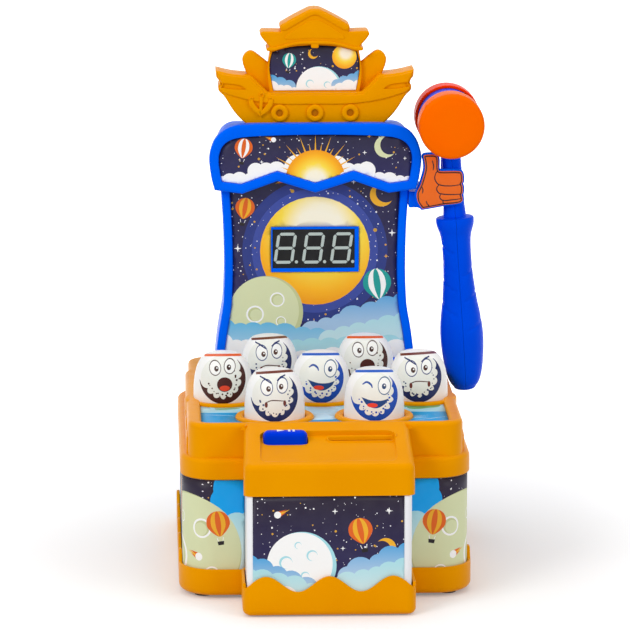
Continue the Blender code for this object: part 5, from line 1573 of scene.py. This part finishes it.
def makeBoatHalf(name, node, front):
    b = boat
    side = 1 if front else -1
    face = b["front"] if front else b["back"]
    split = b["split"] - side * 0.15
    roof, wallFace = face + side * b["roofSetback"], face + side * b["cabinSetback"]

    def pair(name):
        # One outline on each side of the boat
        shape = anticlockwise(boatHalfShape(name))
        return [shape, anticlockwise([(-x, z) for x, z in shape])]

    bm = bmesh.new()
    addRaised(bm, boatShape("hull"), split, face, b["hullRounding"])
    addRaised(bm, boatShape("band"), face + side * 2, face - side * b["gunwale"], 0.9, 4, pair("notch"))
    addRaised(bm, boatShape("roof"), split, roof, 1.3)
    for part, proud, rounding in (("gable", 1.1, 0.9), ("facet", 0.5, 0.5), ("eave", 1.0, 0.8)):
        addRaised(bm, boatShape(part), roof + side * 1.6, roof - side * proud, rounding)
    for outline in pair("paddle"):
        addRaised(bm, outline, split, face + side * b["paddleSetback"], 1.6)
    cabin, window, edge = boatShape("cabin"), boatShape("window"), 0.6
    levels = [(cabin, split)]
    levels += [(inset(cabin, margin), wallFace + side * drop) for margin, drop in edgeSteps(edge, 3)]
    addLevels(bm, levels, onFront)
    addCap(bm, [cabin], onFront(split))
    if front:
        sunk = wallFace + b["windowRecess"]
        addCap(bm, [inset(cabin, edge), window], onFront(wallFace))
        addLevels(bm, [(window, wallFace), (window, sunk)], onFront)
        addCap(bm, [window], onFront(sunk))
        tab = roundedRectangle(-2.6, 2.6, b["low"] + 0.67 * b["height"], b["low"] + 0.725 * b["height"], 1.2, 6)
        addRaised(bm, tab, roof + 1.6, roof - 0.6, 0.6)
        addAnchor(bm, face)
    else:
        addCap(bm, [inset(cabin, edge)], onFront(wallFace))
    addPiece(name, bm, "amber", node, corner=40)


def makePortholes():
    b = boat
    proud, bore = b["portholeProud"], b["portholeBore"]
    depth = proud + 0.8
    level = b["low"] + 0.3 + b["height"] * b["portholeLevel"]
    places = [(i * b["portholePitch"], b["front"] - proud + depth / 2, level) for i in (-1, 0, 1)]
    rounding = b["portholeRounding"]
    addRoundedRings("portholes", places, bore, b["porthole"], depth, rounding, (math.pi / 2, 0, 0))
    # The middles of the portholes are discs of darker amber: painted shade in their hollows
    bm = bmesh.new()
    for x, _, z in places:
        addLoft(bm, disc(x, z, bore + 0.2, 24), [(0, b["front"] + 0.4), (0, b["front"] - 0.15)], onFront)
    addPiece("portholeCentresPaintedShade", bm, "amberPaintedShade")


def makeCabinLabel():
    b = boat
    layers = [(inset(boatShape("window"), 0.3), skyPaint(298, 338, "nightLow", "nightEdge"))]
    craters = (0.35, 0.2, 0.18), (-0.4, 0.25, 0.22), (-0.1, -0.2, 0.14)
    layers += moonDisc(3, 303, 15.5, craters, "white", "cloudPale")
    layers += glowDisc(20, 325, 8.2, sunShades, (0.1, 0.3))
    layers += balloon(-17, 323, 4.6, "teal", "white", -6) + crescent(-1, 327, 3.4, "gold", 40)
    layers += bank(-34, -14, 310, 5, "cloudDeep", 298, 73, -6) + bank(15, 34, 306, 5, "cloudDeep", 298, 79, 7)
    layers += bank(-34, -12, 305, 4.5, "white", 298, 83, -4) + bank(13, 34, 302, 4.5, "white", 298, 89, 5)
    face = b["front"] + b["cabinSetback"] + b["windowRecess"]
    bm = bmesh.new()
    addSheet(bm, layers, onFront(face - 0.5), gridPoints(-30, 30, 301, 333, 6))
    addFilm("cabinPicture", bm, "cabin_label")


makeBoatHalf("boatFront", "boat_front", True)
makeBoatHalf("boatRear", "boat_rear", False)
makePortholes()
makeCabinLabel()
print("boat made")


# Holder, fist and hammer

hand = {
    "left": 68.1, "low": 223.7, "width": 30.8, "height": 36.5, "thickness": 2.4, "back": 140.05, "bulge": 0.9,
    "margin": 1.2, "lineWidth": 0.82, "rim": 1.3,
    "outline": ((0.12, 0.0, 1), (0.267, 0.02, 0), (0.6, 0.069, 0), (0.9, 0.095, 0), (0.985, 0.13, 0), (1.0, 0.18, 0),
                (0.975, 0.25, 1), (1.0, 0.3, 0), (1.0, 0.4, 0), (0.975, 0.46, 1), (1.0, 0.5, 0), (1.0, 0.57, 0),
                (0.985, 0.65, 0), (0.94, 0.69, 0), (0.52, 0.695, 0), (0.475, 0.71, 0), (0.462, 0.79, 0), (0.462, 0.9, 0),
                (0.44, 0.97, 0), (0.38, 1.0, 0), (0.2, 1.0, 0), (0.145, 0.98, 0), (0.162, 0.9, 0), (0.178, 0.755, 0),
                (0.142, 0.61, 0), (0.076, 0.43, 0), (0.0, 0.283, 0), (0.023, 0.124, 0), (0.12, 0.0, 1)),
    "lines": (((0.41, 0.66), (0.385, 0.58), (0.42, 0.5), (0.48, 0.45), (0.7, 0.425), (0.97, 0.45)),
              ((0.48, 0.45), (0.43, 0.38), (0.46, 0.31), (0.52, 0.28), (0.74, 0.265), (0.97, 0.27)),
              ((0.52, 0.28), (0.5, 0.21), (0.57, 0.155), (0.76, 0.165), (0.97, 0.185)),
              ((0.57, 0.155), (0.58, 0.1), (0.66, 0.085)), ((0.41, 0.66), (0.44, 0.69), (0.52, 0.685)),
              ((0.2, 0.15), (0.23, 0.09), (0.3, 0.03)), ((0.1, 0.42), (0.13, 0.36), (0.12, 0.29)),
              ((0.33, 0.9), (0.36, 0.8), (0.35, 0.72))),
    "raisedLines": 5,
    # The holder behind it: corners and rounding of its web, arm, leg and root
    "blocks": (((69.1, 141.35, 223.5), (74.1, 160.35, 239.0), 0.8), ((70.1, 158.15, 223.5), (98.6, 160.35, 239.0), 0.8),
               ((85.5, 158.15, 237.0), (94.5, 160.35, 262.1), 0.8), ((63.0, 144.35, 223.5), (71.1, 156.35, 234.5), 1.0)),
    "plateBack": 142.55, "plateFront": 140.35,
}


def handShape(points):
    return scaled(points, hand["width"], hand["height"], hand["left"], hand["low"])


def handOutline(steps):
    return anticlockwise(smoothed(handShape(hand["outline"]), steps)[:-1])


def makeHand():
    h = hand
    outline = handOutline(4)
    edge = inset(outline, 0.5)
    front = h["back"] - h["thickness"] + h["bulge"]
    creases = [p for line in h["lines"][:h["raisedLines"]] for p in smoothed(handShape(line), 3)]

    def depthAt(x, z):
        # The plate swells from its edge towards its middle, and the lines are raised
        here = Vector((x, z))
        reach = 99.0
        for a, b in zip(edge, edge[1:] + edge[:1]):
            a, b = Vector(a), Vector(b)
            share = max(0.0, min(1.0, (here - a).dot(b - a) / max((b - a).length_squared, 1e-9)))
            reach = min(reach, (here - a.lerp(b, share)).length)
        crease = min(math.dist(p, (x, z)) for p in creases)
        return front - h["bulge"] * (1 - math.exp(-reach / 1.8)) + 0.45 * math.exp(-(crease / 0.9) ** 2)

    bm = bmesh.new()
    levels = [(outline, h["back"]), (outline, front + 0.5), (inset(outline, 0.15), front + 0.15), (edge, front)]
    addLevels(bm, levels, onFront)
    addCap(bm, [outline], onFront(h["back"]))
    rim = list(bm.faces)
    dark, orange = inkOf("#2A1C24"), inkOf("#EC6A16")
    layers = [(edge, dark), (inset(outline, h["rim"]), orange)]
    layers += [(stroke(smoothed(handShape(line), 4), h["lineWidth"], 0.35), dark) for line in h["lines"]]
    right, high = h["left"] + h["width"], h["low"] + h["height"]
    addSheet(bm, layers, lambda x, z: (x, depthAt(x, z), z), gridPoints(h["left"], right, h["low"], high, 1.1))
    inkFaces(bm, rim, orange)
    addPiece("fist", bm, "paintedFist", "hand_relief", corner=50)


def addBlock(bm, low, high, rounding):
    # A block with rounded edges, lofted upwards
    outline = roundedRectangle(low[0], high[0], low[1], high[1], rounding, 3)
    edge = edgeSteps(rounding * 0.9, 2)
    steps = [(margin, low[2] + drop) for margin, drop in reversed(edge)]
    addLoft(bm, outline, steps + [(margin, high[2] - drop) for margin, drop in edge], onFloor)


def makeHolder():
    h = hand
    bm = bmesh.new()
    addRaised(bm, inset(handOutline(3), -h["margin"]), h["plateBack"], h["plateFront"], 0.5, 3)
    for low, high, rounding in h["blocks"]:
        addBlock(bm, low, high, rounding)
    addPiece("hammerHolder", bm, "frameBlue", "hammer_holder")


hammer = {
    "place": (90.2, 150.35, 281.8), "tilt": 3.75, "headLength": 62.0, "barrel": 20.0, "cap": 22.0, "capLength": 19.0,
    "capFace": 3.0, "capRounding": 3.2, "neck": 64.9, "neckTop": 6.0, "grip": 120.4, "gripRadius": 14.6,
    "grooveDepth": 0.7, "grooveWidth": 0.8, "seamDepth": 0.09, "seamGap": 0.08,
    "profile": ((0.0, 0.5), (0.004, 0.7), (0.01, 0.86), (0.03, 0.88), (0.05, 0.86), (0.075, 0.8), (0.097, 0.74),
                (0.13, 0.69), (0.169, 0.67), (0.218, 0.662), (0.314, 0.68), (0.375, 0.717), (0.435, 0.765),
                (0.496, 0.826), (0.556, 0.908), (0.617, 0.97), (0.677, 1.0), (0.738, 0.99), (0.798, 0.949),
                (0.859, 0.887), (0.919, 0.778), (0.955, 0.655)),
    "tip": (0.979, 0.512),
    "leftGrooves": ((20, 26), (31, 39), (43, 52), (58, 69)), "rightGrooves": ((36, 42), (52, 59), (71, 79)),
}
hammerPlace = Matrix.Translation(hammer["place"]) @ Matrix.Rotation(math.radians(-hammer["tilt"]), 4, "Y")


def hammerLevels():
    # Depth below the head and radius, down the neck and the grip to its round end
    h = hammer
    down, across = h["tip"]
    profile = h["profile"] + (h["tip"],)
    grip = smoothed([(place * h["grip"], radius * h["gripRadius"]) for place, radius in profile], 6)
    for i in range(1, 7):
        turn = math.pi / 2 * i / 6
        grip.append((h["grip"] * (down + (1 - down) * math.sin(turn)), h["gripRadius"] * across * math.cos(turn)))
    neck = (0.0, h["neckTop"]), (h["neck"], h["profile"][0][1] * h["gripRadius"])
    levels = [between(*neck, i / 8) for i in range(8)]
    return levels + [(h["neck"] + down, radius) for down, radius in grip if down > 0]


def makeHammerHalf(name, node, side, grooves):
    h = hammer
    flat = side * h["seamGap"]

    def radiusAt(down, radius, angle):
        # Grooves run down and round from the outer side to the seam, which is itself a fine groove
        if radius <= 3:
            return max(radius, 0.02)
        away = 90 - abs(angle)
        radius -= h["seamDepth"] * math.exp(-(away / 1.6) ** 2)
        for start, end in grooves:
            middle = h["neck"] + end + (start - end) * (away / 90)
            deep = math.exp(-((down - middle) / h["grooveWidth"]) ** 2)
            radius -= h["grooveDepth"] * deep * eased(away / 90, 0.08, 0.24)
        return radius

    rows = []
    for down, radius in hammerLevels():
        row = []
        for angle in [-90, -89, -87, -84, -80] + list(range(-75, 76, 5)) + [80, 84, 87, 89, 90]:
            turn, r = math.radians(angle), radiusAt(down, radius, angle)
            row.append((side * max(r * math.cos(turn), h["seamGap"]), r * math.sin(turn), -down))
        rows.append(row)
    bm = bmesh.new()
    addRings(bm, rows, closed=False)
    # The flat side, and the top of the neck
    verts = [bm.verts.new((flat, *row[0][1:])) for row in rows]
    verts += [bm.verts.new((flat, *row[-1][1:])) for row in reversed(rows)]
    for i in range(len(rows) - 1):
        bm.faces.new((verts[i], verts[i + 1], verts[-2 - i], verts[-1 - i]))
    bm.faces.new([bm.verts.new(p) for p in rows[0]])
    end = h["headLength"] / 2 - h["capFace"] - 0.3
    barrel = [(side * max(x, h["seamGap"]), z) for x, z in arc((0, 0), h["barrel"], -90, 90, 36)]
    addLoft(bm, anticlockwise(barrel), [(0.0, -end), (0.0, end)], onFront)
    addPiece(name, bm, "handleBlue", node, "hammer", corner=40, place=hammerPlace)


def makeCap(name, node, side, finish):
    h = hammer
    outer, rounding, end = h["cap"], h["capRounding"], h["headLength"] / 2
    bore, rim = h["barrel"] + 0.3, end - h["capLength"]
    profile = [(0.0, end - h["capFace"]), (bore, end - h["capFace"]), (bore, rim)]
    profile += [(outer - 0.5, rim), (outer, rim + 0.5)]
    profile += [(outer - margin, end - 0.5 - drop) for margin, drop in edgeSteps(rounding, 8)]
    flat = outer - rounding
    profile += [(flat - 1.2, end - 0.35), (flat - 2.2, end - 0.12), (13.0, end), (6.0, end), (0.0, end)]
    bm = bmesh.new()
    addTurned(bm, profile, 72)
    turned = hammerPlace @ Matrix.Rotation(math.radians(90 * side), 4, "X")
    addPiece(name, bm, finish, node, "hammer", corner=40, place=turned)


makeHand()
makeHolder()
makeHammerHalf("hammerLeft", "hammer_left_half", -1, hammer["leftGrooves"])
makeHammerHalf("hammerRight", "hammer_right_half", 1, hammer["rightGrooves"])
makeCap("capFront", "hammer_front_cap", 1, "capOrange")
makeCap("capRear", "hammer_rear_cap", -1, "capRed")
print("holder, fist and hammer made")


# Small parts that keep their CAD shape

def circuitBoard():
    # Fibreglass board under green solder mask: satin, with copper tracks showing as paler lines
    material, tree = newMaterial("solderMask")
    where = millimetres(tree)
    tracks = addNode(tree, "ShaderNodeTexBrick", {
        "Vector": where, "Scale": 0.16, "Mortar Size": 0.035, "Color1": (0, 0, 0, 1), "Color2": (0, 0, 0, 1),
        "Mortar": (1, 1, 1, 1),
    })
    tone = blended(tree, tracks.outputs["Color"], linear("#0E5A34"), linear("#2E8A55"))
    shader = addNode(tree, "ShaderNodeBsdfPrincipled", {
        "Base Color": tone, "Roughness": ranged(tree, noiseAt(tree, where, 3), 0.32, 0.42), "IOR": 1.5,
        "Normal": bumpOf(tree, tracks.outputs["Fac"], 0.03),
    })
    endSurface(tree, shader)
    return material


def platedSteel():
    # Zinc-plated steel: bright metal with fine turned marks
    material, tree = newMaterial("platedSteel")
    where = millimetres(tree)
    marks = noiseAt(tree, where, 0.35, 2)
    tone = blended(tree, noiseAt(tree, where, 6), linear("#C9CBCC"), linear("#AEB1B4"))
    shader = addNode(tree, "ShaderNodeBsdfPrincipled", {
        "Base Color": tone, "Metallic": 1.0, "Roughness": ranged(tree, marks, 0.24, 0.36),
        "Normal": bumpOf(tree, marks, 0.004),
    })
    endSurface(tree, shader)
    return material


def footRubber():
    # Moulded rubber: matt, grey-black, a little dusty
    material, tree = newMaterial("footRubber")
    where = millimetres(tree)
    dust = noiseAt(tree, where, 1.2, 4)
    tone = blended(tree, ranged(tree, dust, 0, 1), linear("#2B2B2D"), linear("#3A3A3C"))
    shader = addNode(tree, "ShaderNodeBsdfPrincipled", {
        "Base Color": tone, "Roughness": ranged(tree, dust, 0.75, 0.9), "IOR": 1.52, "Normal": bumpOf(tree, dust, 0.02),
    })
    endSurface(tree, shader)
    return material


def cellWrap():
    # Shrink sleeve on a dry cell: glossy dark film with a copper band at one end
    material, tree = newMaterial("shrinkSleeve")
    place = addNode(tree, "ShaderNodeSeparateXYZ", {0: millimetres(tree)})
    bandWidth = 14
    band = mathOf(tree, "GREATER_THAN", place.outputs[1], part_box("battery_1")[1][1] * 1000 - bandWidth)
    tone = blended(tree, band, linear("#1C1C20"), linear("#C07A38"))
    fine = noiseAt(tree, millimetres(tree), 2.5)
    shader = addNode(tree, "ShaderNodeBsdfPrincipled", {
        "Base Color": tone, "Roughness": ranged(tree, fine, 0.22, 0.32), "IOR": 1.5,
        "Normal": bumpOf(tree, fine, 0.01),
    })
    endSurface(tree, shader)
    return material


springs = [f"mole_spring_{i}" for i in range(1, 8)]
keptFinishes = {
    "platedSteel": (platedSteel(), ["battery_door_screw", "rear_screw_left", "rear_screw_right"] + springs),
    "solderMask": (circuitBoard(), ["switch_board", "start_switch", "main_board"]),
    "footRubber": (footRubber(), ["foot_front_left", "foot_front_right", "foot_back_left", "foot_back_right"]),
    "shrinkSleeve": (cellWrap(), ["battery_1", "battery_2", "battery_3"]),
    "white": (finishes["white"], ["body_wall"]),
    "black": (finishes["black"], ["battery_box", "power_switch", "power_switch_knob", "speaker"]),
    "amber": (finishes["amber"], ["battery_door", "coin_chute"]),
}
for material, nodes in keptFinishes.values():
    for node in nodes:
        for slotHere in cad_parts[node].material_slots:
            slotHere.material = material
print("kept parts painted")


# Camera, light and floor

view = {
    "place": (-113.18, -2603.55, 685.62), "down": 11.01, "turn": 2.357, "lens": 237.03, "sensor": 36.0,
    "nearWhite": 0.2, "farWhite": 1.2, "roomLight": 0.5,
}


def makeCamera():
    lens = bpy.data.cameras.new("camera")
    lens.lens = view["lens"]
    lens.sensor_width = view["sensor"]
    lens.clip_start = 0.05
    lens.clip_end = 30
    camera = newObject("camera", lens)
    camera.location = toyPlace @ Vector(view["place"])
    camera.rotation_euler = (math.radians(90 - view["down"]), 0, math.radians(-view["turn"]))
    scene.camera = camera


lamps = {
    "keyLeft": {"place": (-1.3, -1.4, 1.3), "size": 0.9, "power": 17},
    "fillRight": {"place": (1.4, -1.3, 1.0), "size": 1.0, "power": 8},
    "top": {"place": (0.0, 0.1, 1.9), "size": 1.2, "power": 8},
}


def seenDirectly(tree):
    # 1 where the camera sees a surface straight on, by a reflection or through glass
    rays = addNode(tree, "ShaderNodeLightPath").outputs
    either = mathOf(tree, "MAXIMUM", rays["Is Camera Ray"], rays["Is Glossy Ray"])
    return mathOf(tree, "MAXIMUM", either, rays["Is Transmission Ray"])


def makeLights():
    for name, facts in lamps.items():
        lamp = bpy.data.lights.new(name, "AREA")
        lamp.shape = "DISK"
        lamp.size = facts["size"]
        lamp.energy = facts["power"]
        obj = newObject(name, lamp)
        obj.location = facts["place"]
        obj.rotation_euler = (Vector((0, 0, 0.17)) - obj.location).to_track_quat("-Z", "Y").to_euler()
    world = bpy.data.worlds.new("studio")
    scene.world = world
    world.use_nodes = True
    tree = world.node_tree
    tree.nodes.clear()
    level = addNode(tree, "ShaderNodeMapRange", {
        "Value": seenDirectly(tree), "To Min": view["roomLight"], "To Max": 1.0,
    })
    shader = addNode(tree, "ShaderNodeBackground", {"Color": (1, 1, 1, 1), "Strength": level.outputs[0]})
    addNode(tree, "ShaderNodeOutputWorld", {"Surface": shader.outputs[0]})


def makeFloor():
    mesh = bpy.data.meshes.new("floor")
    mesh.from_pydata([(-9, -9, 0), (9, -9, 0), (9, 9, 0), (-9, 9, 0)], [], [(0, 1, 2, 3)])
    floor = newObject("floor", mesh)
    material, tree = newMaterial("paperSweep")
    # The paper brightens away from the toy, so that only the shadow round its foot is left
    place = addNode(tree, "ShaderNodeTexCoord")
    away = addNode(tree, "ShaderNodeVectorMath", {0: place.outputs["Object"]}, operation="LENGTH")
    white = addNode(tree, "ShaderNodeMapRange", {
        "Value": away.outputs["Value"], "From Min": 0.12, "From Max": 0.9, "To Min": view["nearWhite"],
        "To Max": view["farWhite"],
    })
    lift = mathOf(tree, "MULTIPLY", seenDirectly(tree), white.outputs[0])
    glow = addNode(tree, "ShaderNodeEmission", {"Color": (1, 1, 1, 1), "Strength": lift})
    paper = addNode(tree, "ShaderNodeBsdfDiffuse", {"Color": linear("#E8E8E8")})
    both = addNode(tree, "ShaderNodeAddShader", {0: paper.outputs[0], 1: glow.outputs[0]})
    endSurface(tree, both)
    mesh.materials.append(material)


makeCamera()
makeLights()
makeFloor()
scene.view_settings.view_transform = "Standard"

print("scene finished")
